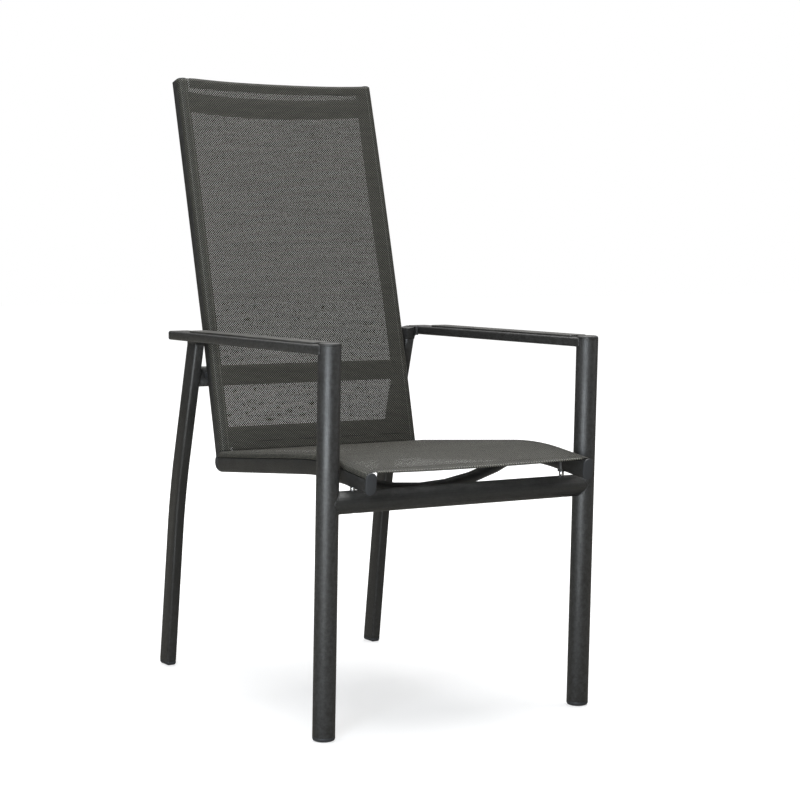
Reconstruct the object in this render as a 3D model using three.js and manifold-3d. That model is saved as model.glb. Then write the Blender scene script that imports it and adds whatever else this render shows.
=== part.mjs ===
// A high-backed patio armchair with two stretched mesh slings on an aluminium tube frame.
// Millimetres, +Z up. The chair faces -Y, and left is the -X side.
// It stands on z = 0, centred over the origin.
import * as THREE from "three";
import { mergeVertices } from "three/addons/utils/BufferGeometryUtils.js";
import Module from "manifold-3d";

const wasm = await Module();
wasm.setup();

// Gaps and walls shared by many pieces
const seam_gap = 0.3;
const spigot_clearance = 0.6;
const hole_clearance = 0.6;
const tube_wall = 2;
const overrun = 6;
const spigot_depth = 12;
const merge_distance = 1e-4;

// Front legs: round tubes, raked a little forward
const leg_spacing = 515;
const leg_diameter = 38;
const leg_top_height = 653.5;
const leg_rake_at_top = 13;
const leg_cap_height = 5;
const leg_cap_edge = 4;

// Rear legs: flat oval tubes with one gentle bend
const rear_leg_under_arm = 0.5;
const rear_leg_width = 20;
const rear_leg_depth = 36;
const rear_leg_corner = 5;
const rear_foot_setback = 657.5;
const rear_leg_lower_lean = 7.4;
const rear_leg_upper_lean = 15.3;
const rear_leg_bend_start = 250;
const rear_leg_bend_radius = 1250;
const head_top_drop = 0.5;
const head_slope = 4;
const head_drop_below_arm = 9;
const head_edge = 1.5;
const head_flange = 5.5;
const head_flange_reach = 14;
const head_fillet = 8;

// Foot glides
const glide_flange = 7;
const glide_edge = 4.5;

// Arms: flat tubes with a thin pad on top
const arm_width = 42;
const arm_height = 16.4;
const arm_corner = 4;
const arm_top_below_leg_top = 3;
const arm_behind_rear_leg = 11.2;
const arm_fall_to_rear = 5.7;
const arm_cap_thickness = 3;
const arm_cap_edge = 1.2;
const pad_inset = 3;
const pad_thickness = 3;
const pad_edge = 1;
const pad_corner = 6;
const pad_front_gap = 6;
const pad_rear_gap = 78;

// Crossbars of the base frame
const front_bar_diameter = 38;
const front_bar_height = 392;
const lumbar_bar_below_leg_top = 95.5;
const flat_bar_thickness = 20;
const flat_bar_depth = 38;

// Rails that hold the slings: one section, with a channel for the edge rod
const rail_thickness = 20;
const rail_depth = 36;
const channel_radius = 3.3;
const channel_slot = 2.8;
const channel_from_nose = 9;
const rod_diameter = 5.2;
const sling_thickness = 1.2;
const sling_gap = 0.4;

// Seat rails: rise forward, roll over the front bar and dip at the nose
const seat_rail_to_front_leg = 12.5;
const seat_end_before_back_foot = 32;
const seat_spacer_height = 7.6;
const seat_rise = 5.5;
const seat_roll_radius = 640;
const seat_dip = 6.5;
const seat_nose_length = 81;
const seat_nose_beyond_front_bar = 66.5;
const rail_cap_thickness = 3;
const rail_cap_edge = 1.2;
const cap_proud = 0.5;

// Seat stretchers
const stretcher_diameter = 21;
const front_stretcher_from_rail_end = 329;
const front_stretcher_below_rail = 3.4;
const front_stretcher_bow = 51;
const rear_stretcher_from_rail_end = 84;

// Back rails: long, nearly straight, leaning back
const back_rail_inset = 17.5;
const back_foot_above_front_bar = 30;
const back_bolt_gap = 9.24;
const back_lean_at_foot = 13.4;
const back_bow_radius = 13000;
const back_rail_length = 707;
const back_cap_thickness = 1.8;
const back_cap_edge = 0.8;
const top_bar_below_rail_end = 37;
const top_bar_bow = 28;
const bottom_bar_above_rail_foot = 28;

// Fasteners
const bolt_diameter = 6;
const bolt_head_diameter = 10.5;
const bolt_head_height = 3.5;
const boss_diameter = 14;
const boss_beyond_rail = 3;
const spacer_diameter = 9;
const back_spacer_diameter = 14;
const seat_bolt_grip = 12;
const back_bolt_grip = 8;
const screw_diameter = 5;
const screw_head_diameter = 10;
const screw_head_height = 3;
const screw_length = 15;
const screw_edge_distance = 12;
const screw_spacing = 24;
const lug_thickness = 7.5;
const lug_height = 24;
const lug_below_axis = 3;
const bracket_shoulder = 4;

// Spacings that follow from the front legs: the arms lie on these, and the rest fits in between
const arm_inner = (leg_spacing - arm_width) / 2;
const rear_leg_spacing = 2 * (arm_inner + rear_leg_under_arm) - rear_leg_width;
const seat_rail_spacing = leg_spacing - leg_diameter - rail_thickness - 2 * seat_rail_to_front_leg;
const back_rail_spacing = seat_rail_spacing - 2 * back_rail_inset;

// Facets: of a whole circle, of each rounded corner, of a rail's half-round nose, and along bends
const round_facets = 32;
const small_round_facets = 16;
const rod_facets = 12;
const corner_facets = 4;
const nose_facets = 10;
const edge_facets = 2;
const leg_bend_steps = 5;
const roll_steps = 7;
const bow_steps = 8;
const back_steps = 3;
const dome_facets = 20;

const quarter_turn = Math.PI / 2;
const half_turn = Math.PI;
const radians = THREE.MathUtils.degToRad;
const X = new THREE.Vector3(1, 0, 0);
const Y = new THREE.Vector3(0, 1, 0);
const Z = new THREE.Vector3(0, 0, 1);
const forward = Y.clone().negate();
const down = Z.clone().negate();

const powder_coat = { color: 0x34363a, roughness: 0.5, metalness: 0.4 };
const cast_coat = { color: 0x303236, roughness: 0.6, metalness: 0.35 };
const arm_pad_finish = { color: 0x3b3b3a, roughness: 0.65, metalness: 0 };
const plug_plastic = { color: 0x2a2b2d, roughness: 0.6, metalness: 0 };
const mesh_fabric = { color: 0x5b5a54, roughness: 0.85, metalness: 0 };
const rod_plastic = { color: 0x1f1f20, roughness: 0.5, metalness: 0 };
const stainless = { color: 0xb9bcc0, roughness: 0.3, metalness: 1 };

const chair = new THREE.Group();

// A geometry as a solid that can be joined and cut
function solidOf(geometry) {
  const bare = geometry.clone();
  bare.deleteAttribute("normal");
  bare.deleteAttribute("uv");
  const merged = mergeVertices(bare, merge_distance);
  const triVerts = new Uint32Array(merged.index.array);
  const vertProperties = merged.attributes.position.array;
  return new wasm.Manifold(new wasm.Mesh({ numProp: 3, vertProperties, triVerts }));
}

function geometryOf(solid) {
  const mesh = solid.getMesh();
  const geometry = new THREE.BufferGeometry();
  geometry.setAttribute("position", new THREE.BufferAttribute(mesh.vertProperties, 3));
  geometry.setIndex(new THREE.BufferAttribute(mesh.triVerts, 1));
  geometry.computeVertexNormals();
  return geometry;
}

function addPiece(name, solid, finish) {
  const mesh = new THREE.Mesh(geometryOf(solid), new THREE.MeshStandardMaterial(finish));
  mesh.name = name;
  chair.add(mesh);
}

// A centre line in one plane, made of straight and round stretches.
// It starts at `start` and runs along `along`; a positive angle turns it towards `across`.
// The first and last sections can be cut at an angle of their own, to meet a wall or the floor flat.
class BentPath extends THREE.Curve {
  constructor(start, along, across, lean, stretches, firstCut, lastCut) {
    super();
    this.start = start;
    this.along = along;
    this.across = across;
    this.stations = [{ s: 0, t: 0, lean }];
    for (const stretch of stretches) this.addStretch(stretch);
    const first = this.stations[0];
    const last = this.stations.at(-1);
    first.cut = firstCut ?? first.lean;
    last.cut = lastCut ?? last.lean;
  }
  addStretch({ length, radius, turn, steps }) {
    const from = this.stations.at(-1);
    if (length !== undefined) {
      const s = from.s + length * Math.cos(from.lean);
      const t = from.t + length * Math.sin(from.lean);
      this.stations.push({ s, t, lean: from.lean });
      return;
    }
    for (let i = 1; i <= steps; i++) {
      const lean = from.lean + (turn * i) / steps;
      const s = from.s + Math.sign(turn) * radius * (Math.sin(lean) - Math.sin(from.lean));
      const t = from.t - Math.sign(turn) * radius * (Math.cos(lean) - Math.cos(from.lean));
      this.stations.push({ s, t, lean });
    }
  }
  get steps() {
    return this.stations.length - 1;
  }
  pointAt({ s, t }) {
    return this.start.clone().addScaledVector(this.along, s).addScaledVector(this.across, t);
  }
  getPoint(share) {
    const place = share * this.steps;
    const before = Math.min(Math.floor(place), this.steps - 1);
    const a = this.pointAt(this.stations[before]);
    return a.lerp(this.pointAt(this.stations[before + 1]), place - before);
  }
  getSpacedPoints() {
    return this.stations.map((station) => this.pointAt(station));
  }
  // The point of the centre line where a coordinate has a value, and the direction there
  placeWhere(coordinate, value) {
    const points = this.getSpacedPoints();
    const offsets = points.map((point) => point[coordinate] - value);
    const after = offsets.findIndex((offset, i) => i > 0 && offset * offsets[i - 1] <= 0);
    const from = points[after - 1];
    const share = (value - from[coordinate]) / (points[after][coordinate] - from[coordinate]);
    const direction = points[after].clone().sub(from).normalize();
    return { point: from.clone().lerp(points[after], share), direction };
  }
  directionOf(lean) {
    return this.along.clone().multiplyScalar(Math.cos(lean)).addScaledVector(this.across, Math.sin(lean));
  }
  sidewaysOf(lean) {
    return this.along.clone().multiplyScalar(-Math.sin(lean)).addScaledVector(this.across, Math.cos(lean));
  }
  computeFrenetFrames() {
    const tangents = this.stations.map(({ lean }) => this.directionOf(lean));
    const binormals = this.stations.map(({ lean, cut }) => {
      const plane = cut ?? lean;
      return this.sidewaysOf(plane).divideScalar(Math.cos(lean - plane));
    });
    const normals = tangents.map((tangent, i) => binormals[i].clone().cross(tangent).normalize());
    return { tangents, normals, binormals };
  }
}

// three.js splits each arc of an outline into twice the number of segments that it is given
const arcSegments = (facets) => Math.ceil(facets / 2);

function sweep(shape, path, facets) {
  const curveSegments = arcSegments(facets);
  const geometry = new THREE.ExtrudeGeometry(shape, { steps: path.steps, extrudePath: path, curveSegments });
  return solidOf(geometry);
}

// An outline drawn out straight along Z, with both ends softened by `edge`
function plate(shape, thickness, edge, facets) {
  const geometry = new THREE.ExtrudeGeometry(shape, {
    depth: thickness - 2 * edge,
    bevelEnabled: edge > 0,
    bevelThickness: edge,
    bevelSize: edge,
    bevelOffset: -edge,
    bevelSegments: edge_facets,
    curveSegments: arcSegments(facets),
  });
  return geometry.translate(0, 0, edge);
}

// Plain shapes
function disc(diameter) {
  return new THREE.Shape().absarc(0, 0, diameter / 2, 0, 2 * half_turn, false);
}

function roundedBar(width, height, corner) {
  const x = width / 2 - corner;
  const y = height / 2 - corner;
  const shape = new THREE.Shape();
  shape.absarc(x, y, corner, 0, quarter_turn, false);
  shape.absarc(-x, y, corner, quarter_turn, half_turn, false);
  shape.absarc(-x, -y, corner, half_turn, half_turn + quarter_turn, false);
  shape.absarc(x, -y, corner, half_turn + quarter_turn, 2 * half_turn, false);
  return shape;
}

function hollowed(shape, hole) {
  shape.holes.push(hole);
  return shape;
}

function roundTube(diameter) {
  return hollowed(disc(diameter), disc(diameter - 2 * tube_wall));
}

function flatTube(width, height, corner) {
  const inner = roundedBar(width - 2 * tube_wall, height - 2 * tube_wall, corner - tube_wall);
  return hollowed(roundedBar(width, height, corner), inner);
}

// A cylinder from one point to another
function rodBetween(from, to, diameter, facets) {
  const axis = to.clone().sub(from);
  const geometry = new THREE.CylinderGeometry(diameter / 2, diameter / 2, axis.length(), facets);
  geometry.applyQuaternion(new THREE.Quaternion().setFromUnitVectors(Y, axis.clone().normalize()));
  geometry.translate(...from.clone().add(to).divideScalar(2).toArray());
  return solidOf(geometry);
}

// A bolt whose head sits at `seat` and whose shank runs `length` along `direction`
function boltAt(seat, direction, length, diameter, headDiameter, headHeight) {
  const backwards = direction.clone().negate();
  const headTop = seat.clone().addScaledVector(backwards, headHeight);
  const socketFloor = seat.clone().addScaledVector(backwards, headHeight / 2);
  const socketMouth = headTop.clone().addScaledVector(backwards, overrun);
  const tip = seat.clone().addScaledVector(direction, length);
  const shankStart = seat.clone().addScaledVector(backwards, headHeight / 4);
  return rodBetween(seat, headTop, headDiameter, small_round_facets)
    .add(rodBetween(shankStart, tip, diameter, small_round_facets))
    .subtract(rodBetween(socketFloor, socketMouth, diameter * socket_share, socket_corners));
}
const socket_share = 0.75;
const socket_corners = 6;

const sides = [
  { name: "left", side: -1 },
  { name: "right", side: 1 },
];

// Front legs
const rake = Math.atan(leg_rake_at_top / leg_top_height);
const leg_tube_top = leg_top_height - leg_cap_height - seam_gap;
const legAt = (height, side) =>
  new THREE.Vector3((side * leg_spacing) / 2, -height * Math.tan(rake), height);

function legPath(side, bottom, top) {
  const length = (top - bottom) / Math.cos(rake);
  return new BentPath(legAt(bottom, side), Z, forward, rake, [{ length }], 0, 0);
}

// The room that a front leg takes in a tube that ends on it
function legRoom(side, bottom, top) {
  return sweep(disc(leg_diameter + 2 * seam_gap), legPath(side, bottom, top), round_facets);
}

function frontLeg(side) {
  return sweep(roundTube(leg_diameter), legPath(side, glide_flange + seam_gap, leg_tube_top), round_facets);
}

function lathe(points, facets) {
  const geometry = new THREE.LatheGeometry(points, facets);
  geometry.rotateX(quarter_turn);
  return solidOf(geometry);
}

// A round profile from the axis, with a softened outer edge
function softEdge(radius, height, edge) {
  const points = [];
  for (let i = 0; i <= edge_facets; i++) {
    const angle = (quarter_turn * i) / edge_facets;
    const x = radius - edge + edge * Math.cos(angle);
    points.push(new THREE.Vector2(x, height - edge + edge * Math.sin(angle)));
  }
  return points;
}

function legCap(side) {
  const spigot = leg_diameter / 2 - tube_wall - spigot_clearance / 2;
  const cap = lathe(
    [
      new THREE.Vector2(0, -spigot_depth),
      new THREE.Vector2(spigot, -spigot_depth),
      new THREE.Vector2(spigot, 0),
      new THREE.Vector2(leg_diameter / 2, 0),
      ...softEdge(leg_diameter / 2, leg_cap_height, leg_cap_edge),
      new THREE.Vector2(0, leg_cap_height),
    ],
    round_facets,
  );
  return cap.translate(legAt(leg_top_height - leg_cap_height, side).toArray());
}

// Rear legs
const lower_lean = radians(rear_leg_lower_lean);
const upper_lean = radians(rear_leg_upper_lean);
const arm_top_at_front = leg_top_height - arm_top_below_leg_top;
const arm_top_at_rear = arm_top_at_front - arm_fall_to_rear;
const arm_bottom_at_rear = arm_top_at_rear - arm_height;
const rear_tube_top = arm_bottom_at_rear - head_drop_below_arm;
const rear_tube_bottom = glide_flange + seam_gap;

function rearLegPath(side, bottom, top) {
  const start = new THREE.Vector3(
    (side * rear_leg_spacing) / 2,
    rear_foot_setback - bottom * Math.tan(lower_lean),
    bottom,
  );
  const lower = (rear_leg_bend_start - bottom) / Math.cos(lower_lean);
  const bendRise = rear_leg_bend_radius * (Math.sin(upper_lean) - Math.sin(lower_lean));
  const upper = (top - rear_leg_bend_start - bendRise) / Math.cos(upper_lean);
  const bend = { radius: rear_leg_bend_radius, turn: upper_lean - lower_lean, steps: leg_bend_steps };
  return new BentPath(start, Z, forward, lower_lean, [{ length: lower }, bend, { length: upper }], 0, 0);
}

function rearLeg(side) {
  const section = flatTube(rear_leg_width, rear_leg_depth, rear_leg_corner);
  return sweep(section, rearLegPath(side, rear_tube_bottom, rear_tube_top), corner_facets);
}

// How far back the rear leg's centre line is at a height
const rearLegSetback = (height) =>
  rearLegPath(1, rear_tube_bottom, leg_top_height).placeWhere("z", height).point.y;

// The plug section that fits a flat tube
function flatPlug(width, height, corner) {
  const shrink = 2 * tube_wall + spigot_clearance;
  return roundedBar(width - shrink, height - shrink, corner - shrink / 2);
}

// The cast head that closes a rear leg. It leans with the leg, its top slopes down from the arm,
// and a flange with a curved foot runs forward along the inside of the arm.
function legHead(side) {
  const inner = rear_leg_spacing / 2 - rear_leg_width / 2;
  const outer = arm_inner - seam_gap;
  const bottom = rear_tube_top + seam_gap;
  const top = arm_top_at_rear - head_top_drop;
  const depth = rear_leg_depth / Math.cos(upper_lean);
  const setback = rearLegSetback(bottom);
  const face = new THREE.Shape();
  face.moveTo(inner, 0);
  face.lineTo(outer, 0);
  face.lineTo(outer, top - bottom);
  face.lineTo(inner, top - bottom - head_slope);
  face.closePath();
  const block = plate(face, depth, head_edge, corner_facets).translate(0, 0, -depth / 2);
  block.applyMatrix4(new THREE.Matrix4().makeBasis(X, Z, forward));
  const lean = Math.tan(upper_lean);
  block.applyMatrix4(new THREE.Matrix4().makeShear(0, 0, 0, 0, 0, -lean));
  block.translate(0, setback, bottom);
  const front = setback - depth / 2;
  const foot = bottom + head_fillet;
  const profile = new THREE.Shape();
  profile.moveTo(setback, bottom);
  profile.lineTo(front, bottom);
  profile.absarc(front - head_fillet, bottom, head_fillet, 0, quarter_turn, false);
  profile.lineTo(front - head_flange_reach, foot);
  profile.lineTo(front - head_flange_reach, top);
  profile.lineTo(setback, top);
  profile.closePath();
  const flange = plate(profile, head_flange, head_edge / 2, corner_facets);
  flange.applyMatrix4(new THREE.Matrix4().makeBasis(Y, Z, X)).translate(outer - head_flange, 0, 0);
  const plugStart = new THREE.Vector3(
    rear_leg_spacing / 2,
    setback + spigot_depth * Math.sin(upper_lean),
    bottom - spigot_depth * Math.cos(upper_lean),
  );
  const plugPath = new BentPath(plugStart, Z, forward, upper_lean, [{ length: spigot_depth + head_edge }]);
  const plug = sweep(flatPlug(rear_leg_width, rear_leg_depth, rear_leg_corner), plugPath, corner_facets);
  const head = solidOf(block).add(solidOf(flange)).add(plug);
  return side > 0 ? head : head.mirror([1, 0, 0]);
}

// Foot glides: a flange with a softened edge, and a plug up into the tube
function glide(outline, plug, foot, lean, facets) {
  const geometry = plate(outline, glide_flange + glide_edge, glide_edge, facets);
  const flange = solidOf(geometry.translate(foot.x, foot.y, 0));
  const lid = new THREE.BoxGeometry(leg_diameter + overrun, leg_diameter + overrun, 2 * glide_flange);
  const above = solidOf(lid.translate(foot.x, foot.y, 2 * glide_flange));
  const start = foot.clone().setZ(glide_flange - glide_edge / 2);
  const length = spigot_depth + glide_edge / 2;
  const path = new BentPath(start, Z, forward, lean, [{ length }], 0, 0);
  return flange.subtract(above).add(sweep(plug, path, facets));
}

function frontGlide(side) {
  const foot = legAt(0, side);
  foot.y = legAt(glide_flange, side).y;
  const plug = disc(leg_diameter - 2 * tube_wall - spigot_clearance);
  return glide(disc(leg_diameter), plug, foot, rake, round_facets);
}

function rearGlide(side) {
  const setback = rear_foot_setback - glide_flange * Math.tan(lower_lean);
  const foot = new THREE.Vector3((side * rear_leg_spacing) / 2, setback, 0);
  const outline = roundedBar(rear_leg_width, rear_leg_depth, rear_leg_corner);
  const plug = flatPlug(rear_leg_width, rear_leg_depth, rear_leg_corner);
  return glide(outline, plug, foot, lower_lean, corner_facets);
}

// Arms
const arm_rear_end = rearLegSetback(arm_bottom_at_rear) + arm_behind_rear_leg;
const arm_reach = arm_rear_end + leg_rake_at_top;
const arm_fall = Math.atan(arm_fall_to_rear / arm_reach);
const arm_tube_rear = arm_rear_end - arm_cap_thickness - seam_gap;
const arm_top = (y) => arm_top_at_front - (y + leg_rake_at_top) * Math.tan(arm_fall);
const armAt = (y, side) => new THREE.Vector3((side * leg_spacing) / 2, y, arm_top(y) - arm_height / 2);

function armPath(side, from, to) {
  const length = (to - from) / Math.cos(arm_fall);
  return new BentPath(armAt(from, side), Y, Z, -arm_fall, [{ length }]);
}

function arm(side) {
  const path = armPath(side, -leg_rake_at_top, arm_tube_rear);
  const tube = sweep(flatTube(arm_width, arm_height, arm_corner), path, corner_facets);
  return tube.subtract(legRoom(side, arm_bottom_at_rear - arm_height, leg_top_height + overrun));
}

// A plate with a softened outer face and a plug, laid along a path's last stretch
function endCap(outline, plug, edge, thickness, place, direction, up, facets) {
  const face = plate(outline, thickness + edge, edge, facets).translate(0, 0, -edge);
  const inside = new THREE.BoxGeometry(rail_depth * 2, rail_depth * 2, 2 * edge).translate(0, 0, -edge);
  const stem = plate(plug, spigot_depth + edge, 0, facets).translate(0, 0, -spigot_depth);
  const cap = solidOf(face).subtract(solidOf(inside)).add(solidOf(stem));
  const side = up.clone().cross(direction).normalize();
  const turn = new THREE.Matrix4().makeBasis(side, up, direction).setPosition(place);
  return cap.transform(turn.toArray());
}

function armCap(side) {
  const path = armPath(side, arm_tube_rear + seam_gap, arm_rear_end);
  const outline = roundedBar(arm_width, arm_height, arm_corner);
  const plug = flatPlug(arm_width, arm_height, arm_corner);
  const direction = path.directionOf(-arm_fall);
  const up = path.sidewaysOf(-arm_fall);
  return endCap(outline, plug, arm_cap_edge, arm_cap_thickness, path.start, direction, up, corner_facets);
}

function armPad(side) {
  const from = -leg_rake_at_top + leg_diameter / 2 + pad_front_gap;
  const to = arm_rear_end - pad_rear_gap;
  const outline = roundedBar(arm_width - 2 * pad_inset, to - from, pad_corner);
  const geometry = plate(outline, pad_thickness, pad_edge, corner_facets);
  geometry.translate(0, 0, arm_height / 2 + seam_gap);
  geometry.rotateX(-arm_fall);
  const middle = armAt((from + to) / 2, side);
  return solidOf(geometry.translate(...middle.toArray()));
}

// Front crossbar of the base frame, cut to the front legs
const front_bar_setback = legAt(front_bar_height, 1).y;
const bolt_spacing = seat_rail_spacing - rail_thickness - 2 * (boss_beyond_rail - boss_diameter / 2);
function barPath(halfSpan, y, z) {
  return new BentPath(new THREE.Vector3(-halfSpan, y, z), X, Z, 0, [{ length: 2 * halfSpan }]);
}

function frontBar() {
  const path = barPath(leg_spacing / 2, front_bar_setback, front_bar_height);
  let bar = sweep(roundTube(front_bar_diameter), path, round_facets);
  const reach = front_bar_diameter;
  const access = bolt_head_diameter + 2 * hole_clearance;
  for (const { side } of sides) {
    const below = seatBoltAt(front_bar_bottom - overrun, side);
    bar = bar.subtract(legRoom(side, front_bar_height - reach, front_bar_height + reach));
    bar = bar.subtract(rodBetween(below, seatBoltAt(front_bar_height, side), access, small_round_facets));
    bar = bar.subtract(seatBoltHole(side));
  }
  return bar;
}

// The line of the back rails: it starts over the seat's rear end and leans on the lumbar crossbar
const foot_lean = radians(back_lean_at_foot);
const back_turn = back_rail_length / back_bow_radius;
const back_foot_height = front_bar_height + back_foot_above_front_bar;
const lumbar_bar_height = leg_top_height - lumbar_bar_below_leg_top;
function backPathFrom(start) {
  const bow = { radius: back_bow_radius, turn: -back_turn, steps: back_steps };
  return new BentPath(start, Z, forward, -foot_lean, [bow]);
}

// A place on a back line at a height, with the direction that the back faces there
function placeOnBack(path, height) {
  const { point, direction } = path.placeWhere("z", height);
  return { point, front: X.clone().cross(direction) };
}

const lumbar_bar_setback = rearLegSetback(lumbar_bar_height);
const lumbar_bar_middle = new THREE.Vector3(0, lumbar_bar_setback, lumbar_bar_height);
const untried = placeOnBack(backPathFrom(new THREE.Vector3(0, 0, back_foot_height)), lumbar_bar_height);
const rail_to_bar = back_bolt_gap + (rail_depth + flat_bar_thickness) / 2;
const back_foot_setback = lumbar_bar_setback - untried.point.y + rail_to_bar / untried.front.y;
const backPath = (x) => backPathFrom(new THREE.Vector3(x, back_foot_setback, back_foot_height));
const backPlace = (height) => placeOnBack(backPath(0), height);
const lumbar = backPlace(lumbar_bar_height);

// Seat rails: the front crossbar carries them on the spacers, and the back rails stand behind them
const rise = radians(seat_rise);
const dip = radians(seat_dip);
const seat_rail_rear_end = back_foot_setback - seat_end_before_back_foot;
const seat_reach = seat_rail_rear_end - front_bar_setback + seat_nose_beyond_front_bar;
const roll_reach = seat_roll_radius * (Math.sin(rise) + Math.sin(dip));
const nose_reach = seat_nose_length * Math.cos(dip);
const seat_straight_length = (seat_reach - roll_reach - nose_reach) / Math.cos(rise);
function seatPathFrom(start) {
  const roll = { radius: seat_roll_radius, turn: -(rise + dip), steps: roll_steps };
  const stretches = [{ length: seat_straight_length }, roll, { length: seat_nose_length }];
  return new BentPath(start, forward, Z, rise, stretches);
}

const front_bar_top = front_bar_height + front_bar_diameter / 2;
const boss_bottom = front_bar_top + seat_spacer_height;
const boss_top = boss_bottom + rail_depth / 2;
const level_line = seatPathFrom(new THREE.Vector3(0, seat_rail_rear_end, 0));
const seat_rail_rear_height = boss_top - level_line.placeWhere("y", front_bar_setback).point.z;
const seatPath = (x) => seatPathFrom(new THREE.Vector3(x, seat_rail_rear_end, seat_rail_rear_height));

// How high the seat rails' centre line is at a setback
const seatAxisHeight = (setback) => seatPath(0).placeWhere("y", setback).point.z;

// The rail section. Its nose is at +y, and `outer` says on which side of it the rod channel opens.
const rail_nose = rail_thickness / 2;
const channel_height = rail_depth / 2 - channel_from_nose;
const channel_centre = rail_nose - tube_wall - channel_radius;
function railSection(outer) {
  const bend = rail_depth / 2 - rail_nose;
  const slot = channel_slot / 2;
  const mouth = Math.asin(slot / channel_radius);
  const lip = Math.asin((channel_height + slot - bend) / rail_nose);
  const shape = new THREE.Shape();
  shape.absarc(0, bend, rail_nose, ...arcTurn(outer, lip, half_turn));
  shape.absarc(0, -bend, rail_nose, ...arcTurn(outer, half_turn, 2 * half_turn));
  shape.lineTo(outer * rail_nose, channel_height - slot);
  const channel = arcTurn(outer, -mouth, mouth - 2 * half_turn);
  shape.absarc(outer * channel_centre, channel_height, channel_radius, ...channel);
  shape.closePath();
  return hollowed(shape, railHollow(0));
}

// An arc's angles, mirrored when the channel opens on the other side
function arcTurn(outer, from, to) {
  const clockwise = to < from;
  return outer > 0 ? [from, to, clockwise] : [half_turn - from, half_turn - to, !clockwise];
}

// The tube's hollow below the channel, or the plug that fits it with a clearance
function railHollow(clearance) {
  const bend = rail_depth / 2 - rail_nose;
  const radius = rail_nose - tube_wall - clearance / 2;
  const top = channel_height - channel_radius - tube_wall - clearance / 2;
  const shape = new THREE.Shape();
  shape.moveTo(radius, top);
  shape.lineTo(-radius, top);
  shape.absarc(0, -bend, radius, half_turn, 2 * half_turn, false);
  shape.closePath();
  return shape;
}

// Where the seat bolts stand: in a boss on each rail's inner side, over the front crossbar
const seatBoltAt = (height, side) =>
  new THREE.Vector3((side * bolt_spacing) / 2, front_bar_setback, height);
const front_bar_bottom = front_bar_height - front_bar_diameter / 2;

function seatBoltHole(side) {
  const from = seatBoltAt(front_bar_bottom - overrun, side);
  const to = seatBoltAt(boss_bottom + seat_bolt_grip + hole_clearance, side);
  return rodBetween(from, to, bolt_diameter + hole_clearance, small_round_facets);
}

function seatRail(side) {
  const x = (side * seat_rail_spacing) / 2;
  const rail = sweep(railSection(side), seatPath(x), nose_facets);
  const bossFloor = seatBoltAt(boss_bottom, side);
  const boss = rodBetween(bossFloor, seatBoltAt(boss_top, side), boss_diameter, small_round_facets);
  let made = rail.add(boss).subtract(seatBoltHole(side));
  for (const hole of screwPlaces(side)) made = made.subtract(screwHole(hole, side));
  return made;
}

function seatSpacer(side) {
  const bottom = seatBoltAt(front_bar_height, side);
  const top = seatBoltAt(boss_bottom - seam_gap, side);
  const bar = sweep(
    disc(front_bar_diameter + 2 * seam_gap),
    barPath(leg_spacing / 2, front_bar_setback, front_bar_height),
    round_facets,
  );
  return rodBetween(bottom, top, spacer_diameter, small_round_facets)
    .subtract(bar)
    .subtract(seatBoltHole(side));
}

// The bolt comes up from inside the front crossbar, through an access hole in its underside
function seatBolt(side) {
  const innerRadius = front_bar_diameter / 2 - tube_wall;
  const ceiling = Math.sqrt(innerRadius ** 2 - (bolt_head_diameter / 2) ** 2);
  const seat = seatBoltAt(front_bar_height + ceiling - seam_gap, side);
  const length = boss_bottom + seat_bolt_grip - seat.z;
  return boltAt(seat, Z, length, bolt_diameter, bolt_head_diameter, bolt_head_height);
}

function railFrontCap(side) {
  const path = seatPath((side * seat_rail_spacing) / 2);
  const direction = path.directionOf(-dip);
  const up = path.sidewaysOf(-dip);
  const place = path.getSpacedPoints().at(-1).addScaledVector(direction, seam_gap);
  const outline = roundedBar(rail_thickness, rail_depth + 2 * cap_proud, rail_nose);
  const plug = railHollow(spigot_clearance);
  return endCap(outline, plug, rail_cap_edge, rail_cap_thickness, place, direction, up, nose_facets / 2);
}

// The rear plug is a dome: the rail's own section spun half a turn
function railRearCap(side) {
  const bend = rail_depth / 2 - rail_nose;
  const points = [new THREE.Vector2(0, -rail_nose)];
  for (let i = 0; i <= nose_facets; i++) {
    const angle = (half_turn * i) / nose_facets - quarter_turn;
    points.push(new THREE.Vector2(bend + rail_nose * Math.cos(angle), rail_nose * Math.sin(angle)));
  }
  points.push(new THREE.Vector2(0, rail_nose));
  const wheel = new THREE.LatheGeometry(points, dome_facets);
  wheel.rotateZ(quarter_turn);
  const half = new THREE.BoxGeometry(rail_depth, rail_depth, rail_depth * 2);
  const dome = solidOf(wheel).subtract(solidOf(half.translate(0, 0, -rail_depth)));
  const stem = plate(railHollow(spigot_clearance), spigot_depth + tube_wall, 0, nose_facets);
  const cap = dome.add(solidOf(stem.translate(0, 0, -spigot_depth)));
  const path = seatPath((side * seat_rail_spacing) / 2);
  const direction = path.directionOf(rise).negate();
  const up = path.sidewaysOf(rise);
  const place = path.start.clone().addScaledVector(direction, seam_gap);
  const across = up.clone().cross(direction).normalize();
  return cap.transform(new THREE.Matrix4().makeBasis(across, up, direction).setPosition(place).toArray());
}

// Stretchers that hold the seat rails apart
const rail_inner = (seat_rail_spacing - rail_thickness) / 2;
const front_stretcher_setback = seat_rail_rear_end - front_stretcher_from_rail_end;
const rear_stretcher_setback = seat_rail_rear_end - rear_stretcher_from_rail_end;
function bowedPath(halfSpan, middleY, middleZ, across, bow) {
  const radius = (halfSpan ** 2 + bow ** 2) / (2 * bow);
  const half = Math.asin(halfSpan / radius);
  const start = new THREE.Vector3(-halfSpan, middleY, middleZ);
  return new BentPath(start, X, across, half, [{ radius, turn: -2 * half, steps: bow_steps }], 0, 0);
}

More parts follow.
